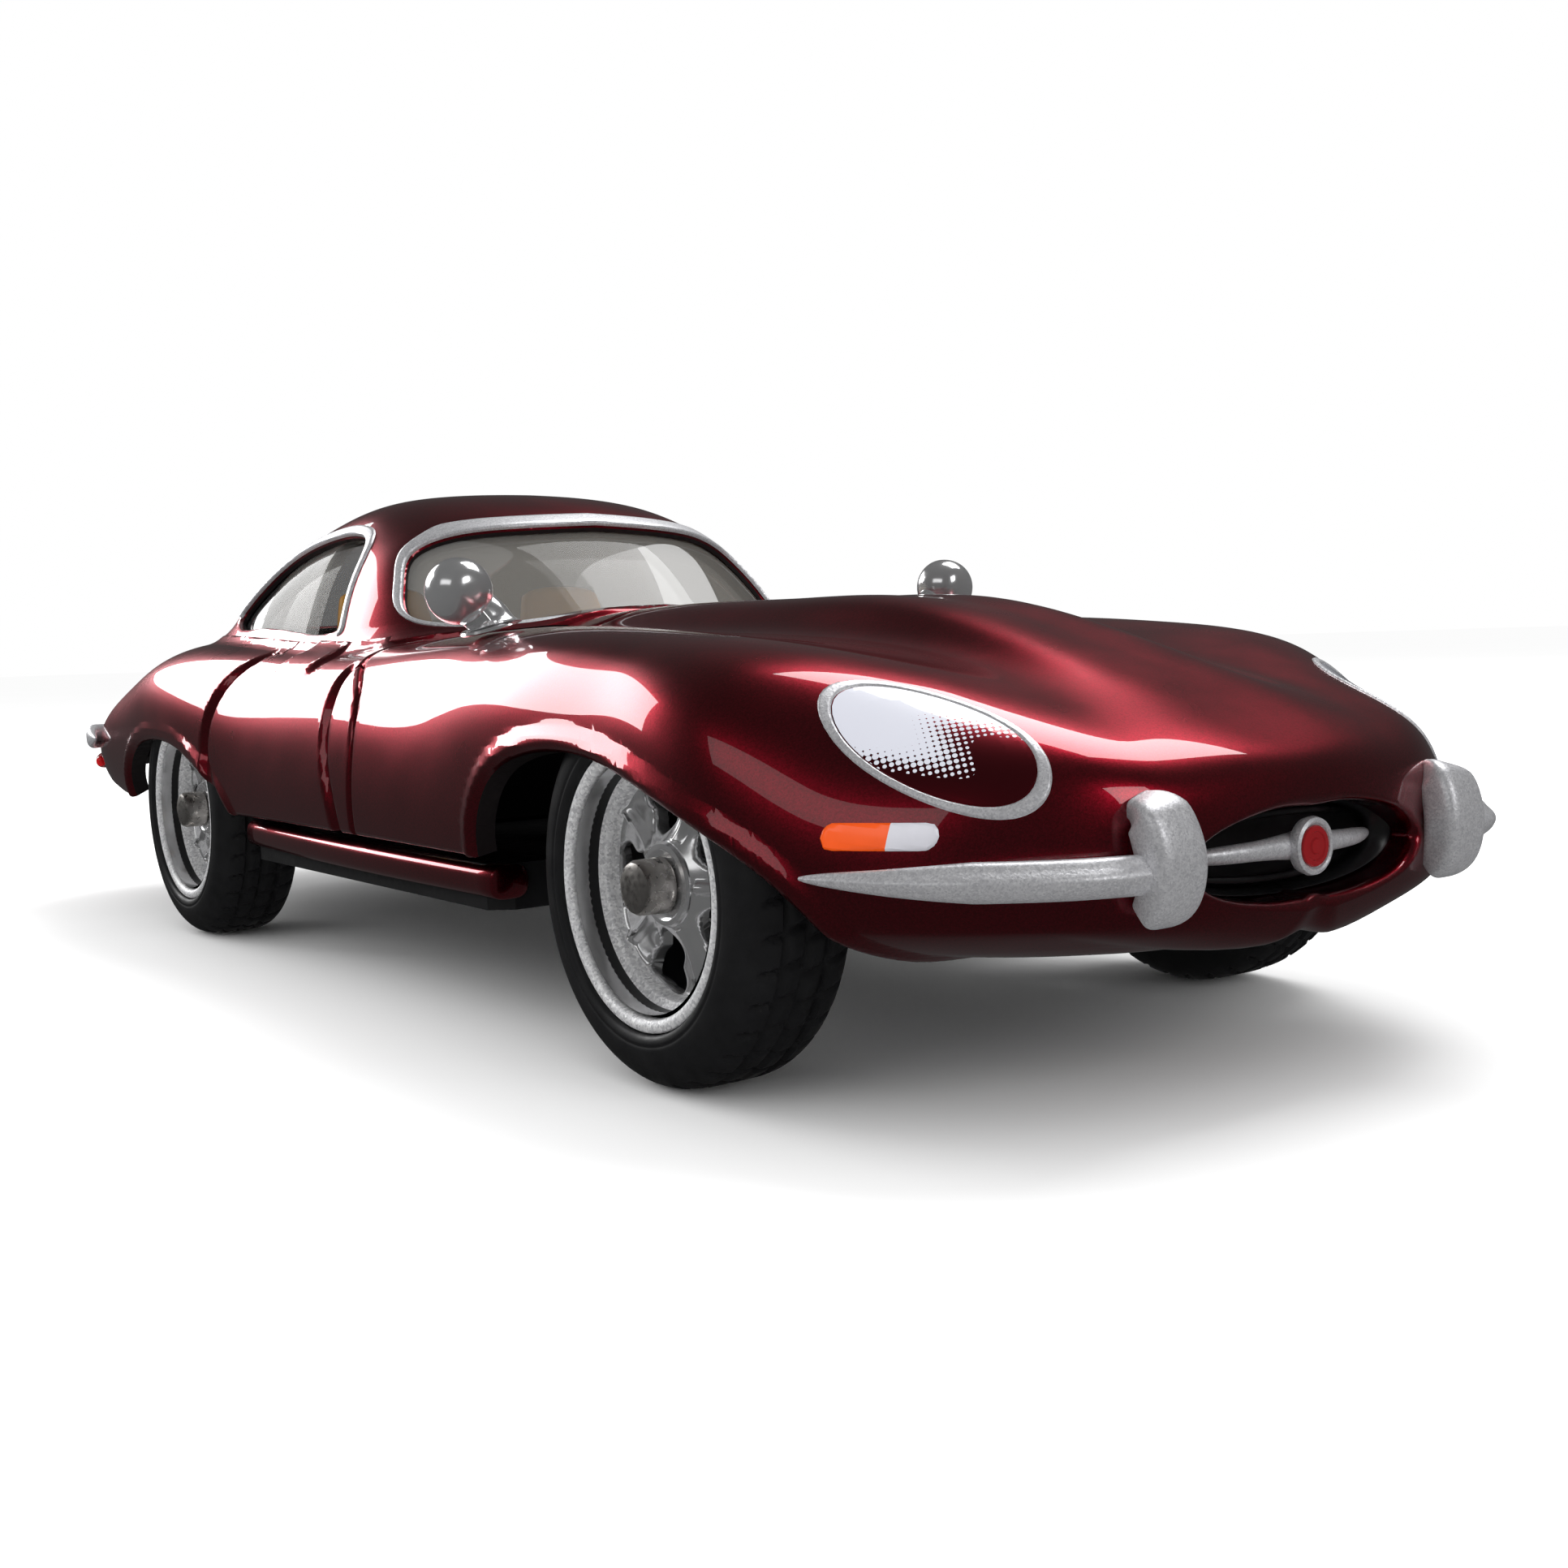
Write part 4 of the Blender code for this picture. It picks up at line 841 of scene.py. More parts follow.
EDGE = 0.2
LIP_BAND = 0.55
LIP_HEIGHT = 0.16
HALF_WIDTH = CAD_BOX[1][1] / MM
ARCH_LEVELS = (0.3, 0.5, 0.85)
FILLET_LEVELS = (0.0, 0.2, 0.4, 0.7)
FILLET_RUN = 0.8
GROOVE_LEVELS = (-0.5, -0.38, -0.26, -0.13, 0, 0.13, 0.26, 0.38, 0.5)
GROOVE_HALF = 0.5
GROOVE_DEPTH = 0.26
HANDLE_RUN = 0.4
HANDLE_HEIGHT = 0.2
NOSE_WALL = 0.18
CHIN_WALL = 0.12


def arch_relief(skin, name):
    """A rolled lip: a raised bead just outside the wheel opening."""
    swell = ease(1 - np.abs(skin.field(name) - 0.3) / LIP_BAND)
    room = np.clip(HALF_WIDTH - np.abs(skin.points[:, 1]), 0, LIP_HEIGHT)
    return np.minimum(LIP_HEIGHT * swell, room)


def edge_lines(skin, names):
    """Edge lines beside each trimmed edge, so that its rounding has faces to bend."""
    for name in names:
        skin.lines(name, (0.03, 0.08, EDGE))


def edge_drop(skin, names):
    return np.maximum.reduce([roll(skin.field(name), EDGE) for name in names])


def fillet(skin, name, height):
    """A swelling where the greenhouse meets the body."""
    return height * np.clip(1 - np.abs(skin.field(name)) / FILLET_RUN, 0, 1) ** 2


def make_bonnet():
    skin = lower.copy()
    edges = ("seam", "under_front", "arch_front")
    for name in edges:
        skin.split(name, 0, 1)
    edge_lines(skin, edges)
    skin.lines("arch_front", ARCH_LEVELS)
    base = skin.points.copy()
    thin = np.interp(base[:, 0], (8.0, 10.0), (WALL, NOSE_WALL))
    chin = (base[:, 0] > 4.0) & (base[:, 2] < 5.6) & (np.abs(base[:, 1]) < 8.5)
    thin = np.where(chin, CHIN_WALL, thin)
    skin.push(arch_relief(skin, "arch_front") - edge_drop(skin, edges))
    shell("bonnet_skin", skin, base, thin, [PAINT, INSIDE_SHADE], HOOD, None, ["bonnet"])


def make_body():
    skin = lower.copy()
    skin.split("seam", -SEAM_GAP, -1)
    skin.split("under_rear", 0, 1)
    skin.split("arch_rear", 0, 1)
    skin.split("foot", -0.75, 1)
    skin.add("edge", -SEAM_GAP - skin.field("seam"))
    edges = ("edge", "under_rear", "arch_rear")
    edge_lines(skin, edges)
    for name in ("door_front", "door_rear"):
        skin.lines(name, GROOVE_LEVELS)
    skin.lines("handle", (0.0, 0.12, 0.26, HANDLE_RUN))
    skin.lines("arch_rear", ARCH_LEVELS)
    skin.lines("foot", FILLET_LEVELS)
    base = skin.points.copy()
    relief = crease(skin.field("door_front"), GROOVE_HALF, GROOVE_DEPTH)
    relief += crease(skin.field("door_rear"), GROOVE_HALF, GROOVE_DEPTH)
    relief += HANDLE_HEIGHT * ease(1 - skin.field("handle") / HANDLE_RUN)
    skin.push(arch_relief(skin, "arch_rear") - edge_drop(skin, edges) + relief + fillet(skin, "foot", 0.3))
    shell("body_skin", skin, base, WALL, [PAINT, INSIDE_SHADE], BODY, None, ["body_shell"])


q = upper.points
upper.add("window", distance(q[:, [0, 2]], smooth_line(SIDE_WINDOW + SIDE_WINDOW[:1], 6)[:-1]))
screen_outline = mirror_outline(smooth_line(WINDSCREEN, 6)[:, ::-1])[:, ::-1]
upper.add("screen", np.where(q[:, 0] > -30, distance(q[:, [1, 2]], screen_outline), FAR))
rear_outline = mirror_outline(smooth_line(REAR_WINDOW, 6))
upper.add("rear", np.where(q[:, 2] > 12.5, distance(q[:, :2], rear_outline), FAR))


def make_roof():
    skin = upper.copy()
    skin.split("rise", -0.5, 1)
    openings = ("window", "screen", "rear")
    for name in openings:
        skin.split(name, 0, 1)
    edge_lines(skin, openings)
    skin.lines("rise", FILLET_LEVELS)
    base = skin.points.copy()
    skin.push(fillet(skin, "rise", 0.25) - edge_drop(skin, openings))
    shell("roof_skin", skin, base, ROOF_WALL, [PAINT, INSIDE_SHADE], BODY)


def one_side(source, y, clear):
    """A copy of what a sheet has on one side, more than clear away from the centre plane."""
    part = source.copy()
    part.add("side", part.points[:, 1] * y)
    return part.split("side", clear, 1)


def band(name, source, field, low, high, thickness, look, body, keep=(), cut=None):
    """A raised strip on a sheet between two levels of a field, with rounded edges."""
    skin = source.copy()
    skin.split(field, low, 1)
    skin.split(field, high, -1)
    for other, level, side in keep:
        skin.split(other, level, side)
    if cut is not None:
        skin.add("cut", cut(skin.points))
        skin.split("cut", 0, 1)
    skin.lines(field, (low + 0.03, low + thickness, high - thickness, high - 0.03))
    near = np.minimum(skin.field(field) - low, high - skin.field(field))
    if cut is not None:
        near = np.minimum(near, skin.field("cut"))
    base = skin.points.copy()
    skin.push(thickness - roll(near, thickness))
    shell(name, skin, base, 0.1, [look, look], body)


def window_bottom(points):
    """Positive above the side window's lower edge and ahead of the window."""
    x, z = points[:, 0], points[:, 2]
    above = z - (13.62 + (x + 27.2) * -0.052)
    ahead = x + 26.95
    return np.maximum(above, ahead)


TRIM = 0.1

make_bonnet()
make_body()
make_roof()
for side, y in SIDES:
    band(f"window_trim_{side}", one_side(upper, y, 4.0), "window", 0.02, 0.4, TRIM, SILVER, BODY,
         [("rise", 0.05, 1)], window_bottom)
framed = upper.copy()
corner = ease((np.abs(framed.points[:, 1]) - 6.0) / 2.5)
framed.add("frame", framed.field("screen") * (1 + 1.5 * corner))
band("windscreen_trim", framed, "frame", 0.02, 0.46, TRIM, SILVER, BODY, [("rise", 0.02, 1)])


# ---------------------------------------------------------------- prints on the bonnet

LAMP_CENTRE = np.array([8.35, 9.04, 9.65])
LAMP_LONG = np.array([0.86, -0.334, -0.386])
LAMP_SHORT = np.array([-0.064, -0.82, 0.568])
LAMP_HALF = (3.25, 1.68)


def lamp_plane(points, y):
    """Coordinates along the headlamp's long and short axes, from -1 to 1 at its outline."""
    mirror = np.array([1, y, 1])
    offset = points - LAMP_CENTRE * mirror
    return offset @ (LAMP_LONG * mirror) / LAMP_HALF[0], offset @ (LAMP_SHORT * mirror) / LAMP_HALF[1]


def halftone():
    """White print that breaks up into a screen of dots towards one end, on dark metallic red."""
    look = Look("headlamp_print", (0.62, 0.63, 0.7), 0.3, 0.0, Coat_Weight=1.0, Coat_Roughness=0.03)
    coordinate = look.nodes.new("ShaderNodeUVMap")
    coordinate.uv_map = "lamp"
    parts = look.nodes.new("ShaderNodeSeparateXYZ")
    look.links.new(coordinate.outputs["UV"], parts.inputs[0])
    along, across = parts.outputs["X"], parts.outputs["Y"]
    pitch = 0.17
    first = look.math("MULTIPLY", look.math("ADD", along, across), 0.7071 / pitch)
    second = look.math("MULTIPLY", look.math("SUBTRACT", along, across), 0.7071 / pitch)
    cell = [look.math("SUBTRACT", look.math("FRACT", value), 0.5) for value in (first, second)]
    square = look.math("ADD", look.math("POWER", cell[0], 2.0), look.math("POWER", cell[1], 2.0))
    reach = look.math("SQRT", square)
    fade = look.math("ADD", look.math("MULTIPLY", along, 0.4), look.math("MULTIPLY", across, -0.36))
    wobble = look.math("MULTIPLY", look.math("SINE", look.math("MULTIPLY", across, 2.6)), 0.3)
    radius = look.ramp(look.math("ADD", fade, wobble), -0.35, 0.55, 0.76, 0.2)
    dot = look.math("LESS_THAN", reach, radius)
    edge = look.math("GREATER_THAN", look.math("ADD", fade, wobble), 0.5)
    ink = look.math("MULTIPLY", dot, look.math("SUBTRACT", 1.0, edge))
    look.link(look.mix(ink, (0.25, 0.004, 0.015), (0.62, 0.63, 0.7)), "Base Color")
    look.link(look.ramp(ink, 0.0, 1.0, 1.0, 0.0), "Metallic")
    look.bump(ink, 0.01, 0.4)
    return look.material


HALFTONE = halftone()


def make_headlamp(side, y):
    part = one_side(lower, y, 3.0)
    along, across = lamp_plane(part.points, y)
    radius = np.sqrt(along**2 + across**2)
    facing = part.data[:, 3:6] @ np.cross(LAMP_LONG * (1, y, 1), LAMP_SHORT * (1, y, 1)) * -y
    part.add("lamp", np.where(facing > 0.2, (radius - 1) * LAMP_HALF[1], 5.0))
    band(f"headlamp_ring_{side}", part, "lamp", -0.2, 0.0, 0.05, SILVER, HOOD)
    glass = part.copy()
    glass.split("lamp", -0.22, -1)
    glass.lines("lamp", (-0.3, -0.6))
    base = glass.points.copy()
    glass.push(np.full(len(base), 0.02))
    made = shell(f"headlamp_print_{side}", glass, base, 0.05, [HALFTONE, HALFTONE], HOOD)
    along, across = lamp_plane(np.array([v.co for v in made.data.vertices]) / MM - (FRONT_X, 0, 0), y)
    layer = made.data.uv_layers.new(name="lamp")
    corner = np.zeros(len(made.data.loops), np.int32)
    made.data.loops.foreach_get("vertex_index", corner)
    plane = np.column_stack([along * LAMP_HALF[0], across * LAMP_HALF[1]])
    layer.data.foreach_set("uv", plane[corner].astype(np.float32).ravel())


def make_indicator(side, y):
    """A printed capsule under the headlamp: amber behind, white ahead."""
    start, end, half_height = 7.35, 9.6, 0.33
    part = one_side(lower, y, 6.0)
    p = part.points
    near = np.clip(p[:, 0], start + 0.15, end - 0.25)
    reach = np.hypot((p[:, 0] - near) * 1.35, p[:, 2] - 7.53)
    part.add("capsule", np.where(p[:, 2] > 6, reach - half_height, 5.0))
    part.add("length", p[:, 0])
    part.split("capsule", 0.0, -1)
    split_x = start + (end - start) * 0.58
    for name, look, turn in (("amber", AMBER, -1), ("white", WHITE, 1)):
        half_print = part.copy()
        half_print.split("length", split_x, turn)
        half_print.split("capsule", -0.06)
        base = half_print.points.copy()
        half_print.push(0.07 - roll(-half_print.field("capsule"), 0.06))
        shell(f"indicator_{name}_{side}", half_print, base, 0.05, [look, look], HOOD)


for side, y in SIDES:
    make_headlamp(side, y)
    make_indicator(side, y)


# ---------------------------------------------------------------- glazing


GLASS_EDGE = 0.12
SMOKED_BEHIND = -37.5


def make_glazing():
    """One clear moulding under the roof, open at the door windows."""
    skin = upper.copy()
    skin.push(np.full(len(skin.data), -GLASS_DEPTH))
    p = skin.points
    skin.add("foot_height", p[:, 2] - 12.35)
    skin.add("door", np.maximum.reduce([-31.6 - p[:, 0], p[:, 0] + 26.0, p[:, 2] - 17.6]))
    edges = ("foot_height", "door")
    for name in edges:
        skin.split(name, 0, 1)
    for name in edges:
        skin.lines(name, (0.04, GLASS_EDGE))
    base = skin.points.copy()
    skin.push(-np.maximum(roll(skin.field("door"), GLASS_EDGE), roll(skin.field("foot_height"), GLASS_EDGE)))
    paint = np.where(base[skin.tris].mean(axis=1)[:, 0] < SMOKED_BEHIND, 2, 0)
    shell("glazing_skin", skin, base, GLASS_T, [CLEAR, CLEAR, SMOKED], BODY, paint, ["glazing"])


make_glazing()


# ---------------------------------------------------------------- wheels

SPOKES = 5
SPOKE_EDGE = 0.16
TREAD_BLOCKS = 36
TREAD_MIDDLE = 1.75


def wheel_point(corner, out, radius, angle, height):
    """Local wheel coordinates (height 0 on the inner plane) to table millimetres."""
    low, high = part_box(f"tyre_{corner}")
    x = (low.x + high.x) / 2 / MM - FRONT_X
    inner = (low.y if out > 0 else high.y) / MM
    return np.stack([
        x + radius * np.cos(angle),
        inner + out * height,
        TYRE_R + radius * np.sin(angle),
    ], axis=-1)


def wheel_grid(section, count):
    """Radius, height and angle at the points of a section turned in count steps."""
    turns = np.arange(count) * 2 * math.pi / count
    radius = np.repeat(section[:, 0][:, None], count, axis=1)
    height = np.repeat(section[:, 1][:, None], count, axis=1)
    return radius, height, np.repeat(turns[None], len(section), axis=0)


RIM_FACE = [(4.0, 2.7), (4.0, 3.3), (3.98, 3.42), (3.9, 3.47), (3.72, 3.45), (3.64, 3.38), (3.6, 3.2), (3.52, 2.62),
            (3.42, 2.5), (3.3, 2.46), (3.24, 2.36), (3.2, 2.2), (3.14, 2.08), (3.0, 2.02), (2.6, 2.0), (2.0, 2.05),
            (1.5, 2.2), (1.25, 2.36), (1.12, 2.44), (0.95, 2.48), (0.5, 2.5)]


def make_rim(corner, out, body):
    """A deep-dish wheel face: lip, dish with a step, five lobed openings between spokes, raised hub."""
    radius, height, angle = wheel_grid(smooth_line(RIM_FACE, 6), 360)
    sector = (angle * SPOKES / (2 * math.pi)) % 1.0 - 0.5
    swing = sector * 2 * math.pi / SPOKES
    along, across = radius * np.cos(swing), radius * np.sin(swing)
    lobe = smooth_line([(1.5, 0.0), (1.6, 0.36), (1.95, 0.66), (2.3, 0.62), (2.65, 0.86), (2.92, 0.86), (3.04, 0.45),
                        (3.07, 0.0)], 6)
    opening = distance(np.column_stack([along.ravel(), across.ravel()]), mirror_outline(lobe)).reshape(radius.shape)
    spoke = np.clip(1 - opening / 0.55, 0, 1)
    rib = ease(1 - np.abs(np.abs(swing) - math.pi / SPOKES) * radius / 0.28)
    window = (radius > 1.3) & (radius < 3.2)
    height = height + np.where(window, 0.16 * rib, 0) - 0.06 * spoke**2
    points = wheel_point(corner, out, radius, angle, height)
    skin = Skin(points, wrap=True)
    if skin.data[:, 4].mean() * out < 0:
        skin.flip()
    skin.add("opening", opening.ravel())
    skin.add("radius", radius.ravel())
    skin.split("opening", 0, 1)
    skin.lines("opening", (0.03, 0.08, SPOKE_EDGE))
    base = skin.points.copy()
    drop = roll(skin.field("opening"), SPOKE_EDGE)
    drop = np.where(skin.field("radius") < 3.25, drop, 0)
    skin.push(-drop)
    reach = skin.field("radius")[skin.tris].mean(axis=1)
    paint = np.where(reach > 3.15, 2, 0)
    shell(f"rim_face_{corner}", skin, base, 0.5, [CHROME, CHROME, GRAINY], body, paint, [f"rim_{corner}"])
    barrel = [(3.9, 2.9), (4.0, 2.8), (4.0, 0.25), (3.92, 0.15), (3.6, 0.15), (3.52, 0.25), (3.45, 1.4), (3.5, 2.9)]
    axle = wheel_point(corner, out, 0, 0, 0)
    turned(f"rim_barrel_{corner}", barrel, BLACK, body, axle, (0, out, 0), 96, closed=True)
    hub = [(0.56, 1.9), (1.18, 1.9), (1.2, 2.45), (1.14, 2.54), (1.0, 2.56), (0.9, 2.5), (0.56, 2.5)]
    turned(f"rim_hub_{corner}", hub, CHROME, body, axle, (0, out, 0), 64, closed=True)


TYRE_SECTION = [(4.02, 3.3), (4.06, 3.5), (4.2, 3.58), (4.4, 3.6), (4.7, 3.57), (5.0, 3.46), (5.28, 3.26),
                (5.5, 3.0), (5.62, 2.7), (5.67, 2.35), (5.68, 1.7), (5.67, 1.0), (5.6, 0.5), (5.4, 0.22),
                (5.1, 0.06), (4.6, 0.0), (4.2, 0.05), (4.05, 0.3)]


def make_tyre(corner, out, body):
    """Low-profile tyre with a bead line, ribbed shoulder and block tread."""
    profile = np.minimum(smooth_line(TYRE_SECTION, 6), TYRE_R)
    radius, height, angle = wheel_grid(profile, 432)
    tread = np.clip((radius - 5.42) / 0.12, 0, 1)
    shift = np.where(height > TREAD_MIDDLE, 0.0, 0.5)
    block = (angle * TREAD_BLOCKS / (2 * math.pi) + shift + (height - TREAD_MIDDLE) * 0.35) % 1.0
    cross_cut = np.clip(1 - np.abs(block - 0.5) / 0.12, 0, 1)
    ring_cut = np.maximum.reduce([np.clip(1 - np.abs(height - h) / 0.13, 0, 1) for h in (1.05, 1.75, 2.45)])
    depth = 0.13 * tread * np.clip(np.maximum(cross_cut, ring_cut) * 2, 0, 1)
    bead = 0.03 * np.clip(1 - np.abs(radius - 4.34) / 0.07, 0, 1) * (height > 3)
    rings = wheel_point(corner, out, radius - depth, angle, height - bead)
    faces = ring_faces(*radius.shape, closed=True)
    if out > 0:
        faces = [face[::-1] for face in faces]
    solid(f"tyre_skin_{corner}", rings.reshape(-1, 3), faces, RUBBER, body, [f"tyre_{corner}"], 50)


def make_axle_heads(end):
    """Riveted axle ends standing out of the hubs, with the plain bar between them."""
    low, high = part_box(f"axle_{end}")
    x = (low.x + high.x) / 2 / MM - FRONT_X
    reach = high.y / MM
    profile = [(0.0, -reach), (0.55, -reach), (0.7, -reach + 0.06), (0.77, -reach + 0.18), (0.79, -reach + 0.95),
               (0.74, -reach + 1.0), (0.46, -reach + 1.0)]
    mirrored = [(r, -h) for r, h in profile[::-1]]
    turned(f"axle_bar_{end}", profile + mirrored, STEEL, BODY, (x, 0, TYRE_R), (0, 1, 0), 64, [f"axle_{end}"])


for end in ("front", "rear"):
    for side, y in SIDES:
        corner = f"{end}_{side}"
        make_rim(corner, y, f"wheel_{corner}")
        make_tyre(corner, y, f"wheel_{corner}")
    make_axle_heads(end)


# ---------------------------------------------------------------- bumpers, mirrors and nose


def make_front_bumper(side, y):
    path = smooth_line([(7.1, 12.3, 6.55), (8.9, 11.65, 6.55), (10.3, 10.75, 6.55), (11.5, 9.5, 6.55),
                        (12.45, 8.0, 6.55), (13.02, 6.2, 6.55)], 8) * (1, y, 1)
    share = np.linspace(0, 1, len(path))
    tall = 0.05 + 0.43 * np.clip(share / 0.5, 0, 1) ** 0.7
    wide = 0.05 + 0.37 * np.clip(share / 0.5, 0, 1) ** 0.7
    section = [(-0.9, -0.75), (-0.6, -1.0), (0.1, -0.92), (0.62, -0.62), (0.95, -0.2), (1.0, 0.05), (0.86, 0.3),
               (0.5, 0.62), (0.2, 0.92), (-0.3, 1.0), (-0.8, 0.9), (-1.0, 0.3), (-1.0, -0.3)]
    wide[-8:] *= np.linspace(1.0, 0.7, 8)
    loop = smooth_line(section + section[:1], 4)[:-1] * (y, 1)
    sweep(f"bumper_blade_{side}", path, np.column_stack([wide, tall]), SILVER, HOOD, around=len(loop),
          section=loop[::y], replaces=[f"bumper_front_{side}"], sharp=60)
    rider_path = smooth_line([(12.25, 5.95, 8.1), (12.68, 5.9, 7.9), (12.95, 5.85, 7.4), (13.07, 5.8, 6.8),
                              (13.02, 5.8, 6.2), (12.86, 5.8, 5.8), (12.6, 5.8, 5.55)], 6) * (1, y, 1)
    share = np.linspace(0, 1, len(rider_path))
    bulge = 0.72 + 0.28 * np.sin(math.pi * np.clip(share * 0.9 + 0.07, 0, 1)) ** 0.6
    bulge *= np.interp(share, (0, 0.2), (0.62, 1.0))
    sizes = np.column_stack([0.84 * bulge, 0.56 * bulge])
    sweep(f"overrider_{side}", rider_path, sizes, SILVER, HOOD, 4.2, 48, (1, 0, 0), (0.2, 0.2), sharp=60)


def make_rear_bumper(side, y):
    path = smooth_line([(-50.9, 13.25, 8.6), (-52.5, 13.0, 8.6), (-54.3, 12.35, 8.6), (-55.9, 11.4, 8.55),
                        (-57.2, 10.0, 8.55), (-58.1, 8.5, 8.5), (-58.6, 6.2, 8.5)], 8) * (1, y, 1)
    share = np.linspace(0, 1, len(path))
    tall = 0.08 + 0.55 * np.clip(share / 0.3, 0, 1) ** 0.8
    wide = 0.06 + 0.28 * np.clip(share / 0.3, 0, 1) ** 0.7
    sweep(f"rear_blade_{side}", path, np.column_stack([wide, tall]), SILVER, BODY, 2.6, 32,
          ends=(0.1, 0.1), replaces=[f"bumper_rear_{side}"], sharp=60)
    rider = smooth_line([(-58.47, 6.2, 9.7), (-58.77, 6.2, 9.2), (-58.87, 6.2, 8.5), (-58.77, 6.2, 7.8),
                         (-58.47, 6.2, 7.3)], 6) * (1, y, 1)
    share = np.linspace(0, 1, len(rider))
    bulge = 0.6 + 0.4 * np.sin(math.pi * share)
    sweep(f"rear_rider_{side}", rider, np.column_stack([0.55 * bulge, 0.36 * bulge]), SILVER, BODY, 2.8, 32,
          (1, 0, 0), (0.2, 0.2), sharp=60)
    lamp_path = smooth_line([(-53.7, y * 12.3, 7.3), (-55.05, y * 11.7, 7.3), (-56.3, y * 10.85, 7.35)], 8)
    size = 0.24 + 0.14 * np.sin(np.linspace(0, math.pi, len(lamp_path)))
    sweep(f"tail_lens_{side}", lamp_path, np.column_stack([size, size * 1.1]), RED_LENS, BODY, 2.2, 24,
          ends=(0.2, 0.2), replaces=[f"tail_lamp_{side}"])


def make_mirror(side, y):
    """A flared foot on the wing, a curved stalk with a thin rod behind it, and a ball-shaped head."""
    stalk = smooth_line([(-13.0, y * 9.9, 13.1), (-13.05, y * 9.95, 13.3), (-13.15, y * 10.1, 13.5),
                         (-13.35, y * 10.4, 13.8), (-13.55, y * 10.7, 14.1)], 6)
    share = np.linspace(0, 1, len(stalk))
    girth = 0.74 + 0.3 * np.clip(1 - share / 0.3, 0, 1) ** 2
    sweep(f"mirror_stalk_{side}", stalk, np.column_stack([girth, girth * 0.8]), CHROME, HOOD, 2, 32, (1, 0, 0),
          (0.03, 0.1), replaces=[f"mirror_{side}"])
    rod = smooth_line([(-12.6, y * 10.15, 13.2), (-12.75, y * 10.5, 13.7), (-12.9, y * 10.9, 14.2)], 6)
    sweep(f"mirror_rod_{side}", rod, [(0.13, 0.13)] * len(rod), CHROME, HOOD, 2, 20, (1, 0, 0), (0.1, 0.1))
    disc = [(0.0, 0.0), (0.95, 0.0), (1.0, 0.05), (0.95, 0.13), (0.7, 0.2), (0.4, 0.3)]
    turned(f"mirror_foot_{side}", disc, CHROME, HOOD, (-13.15, y * 10.0, 13.02), (0, y * 0.25, 1), 48)
    turns = np.linspace(0, math.pi, 28)
    head = [(1.14 * math.sin(t) ** 0.85, -1.12 * math.cos(t) + 0.08 * math.sin(t)) for t in turns]
    head = [(r, h * (0.82 if h < 0 else 1.08)) for r, h in head]
    turned(f"mirror_head_{side}", head, CHROME, HOOD, (-13.5, y * 10.95, 14.35), (1, 0, 0.0), 56)


def make_nose():
    """The black grille basin with its ridges, the bright bar and the round badge."""
    rings = []
    profile = [(1.02, 11.8), (1.0, 11.9), (0.97, 11.85), (0.93, 11.2), (0.9, 10.8), (0.8, 10.62), (0.4, 10.55),
               (0.02, 10.52)]
    for share, x in smooth_line(profile, 4):
        loop = superellipse(4.55 * share, 1.2 * share, 2.2, 96)
        rings.append(np.column_stack([np.full(96, x), loop[:, 0], 6.55 + loop[:, 1]]))
    back = [np.column_stack([np.full(96, 9.3), *(superellipse(4.6 * s, 1.22 * s, 2.2, 96) + (0, 6.55)).T])
            for s in (0.02, 1.0)]
    every = back + rings
    solid("grille_basin", np.concatenate(every), ring_faces(len(every), 96), BLACK, HOOD, ["grille_insert"])
    for n, z in enumerate((5.95, 7.15)):
        reach = 3.5
        path = smooth_line([(10.9, -reach, z), (11.35, -reach * 0.6, z + (z - 6.55) * 0.25),
                            (11.55, 0, z + (z - 6.55) * 0.4), (11.35, reach * 0.6, z + (z - 6.55) * 0.25),
                            (10.9, reach, z)], 10)
        sweep(f"grille_rib_{n}", path, [(0.12, 0.1)] * len(path), BLACK, HOOD, 3, 20, ends=(0.1, 0.1))
    path = smooth_line([(11.4, -4.1, 6.5), (12.0, -2.7, 6.55), (12.32, 0, 6.6), (12.0, 2.7, 6.55),
                        (11.4, 4.1, 6.5)], 12)
    share = np.abs(np.linspace(-1, 1, len(path)))
    girth = 0.1 + 0.19 * (1 - share) ** 0.5 + 0.12 * np.clip(1 - share / 0.35, 0, 1) ** 2
    sweep("grille_bright_bar", path, np.column_stack([girth, girth]), SILVER, HOOD, 2, 28, ends=(0.1, 0.1),
          replaces=["grille_bar"])
    boss = [(0.0, 0.0), (0.6, 0.0), (0.86, 0.16), (0.92, 0.34), (0.88, 0.46), (0.78, 0.5), (0.72, 0.46), (0.7, 0.4),
            (0.0, 0.4)]
    turned("badge_ring", [(r * 0.84, h) for r, h in boss], SILVER, HOOD, (12.36, 0, 6.6), (1, 0, 0), 56)
    disc = [(0.0, 0.0), (0.7, 0.0), (0.7, 0.44), (0.66, 0.48), (0.5, 0.49), (0.46, 0.46), (0.28, 0.46), (0.24, 0.5),
            (0.0, 0.51)]
    turned("badge_enamel", [(r * 0.78, h) for r, h in disc], ENAMEL, HOOD, (12.36, 0, 6.6), (1, 0, 0), 56,
           ["badge_disc"])


for side, y in SIDES:
    make_front_bumper(side, y)
    make_rear_bumper(side, y)
    make_mirror(side, y)
make_nose()


# ---------------------------------------------------------------- cabin


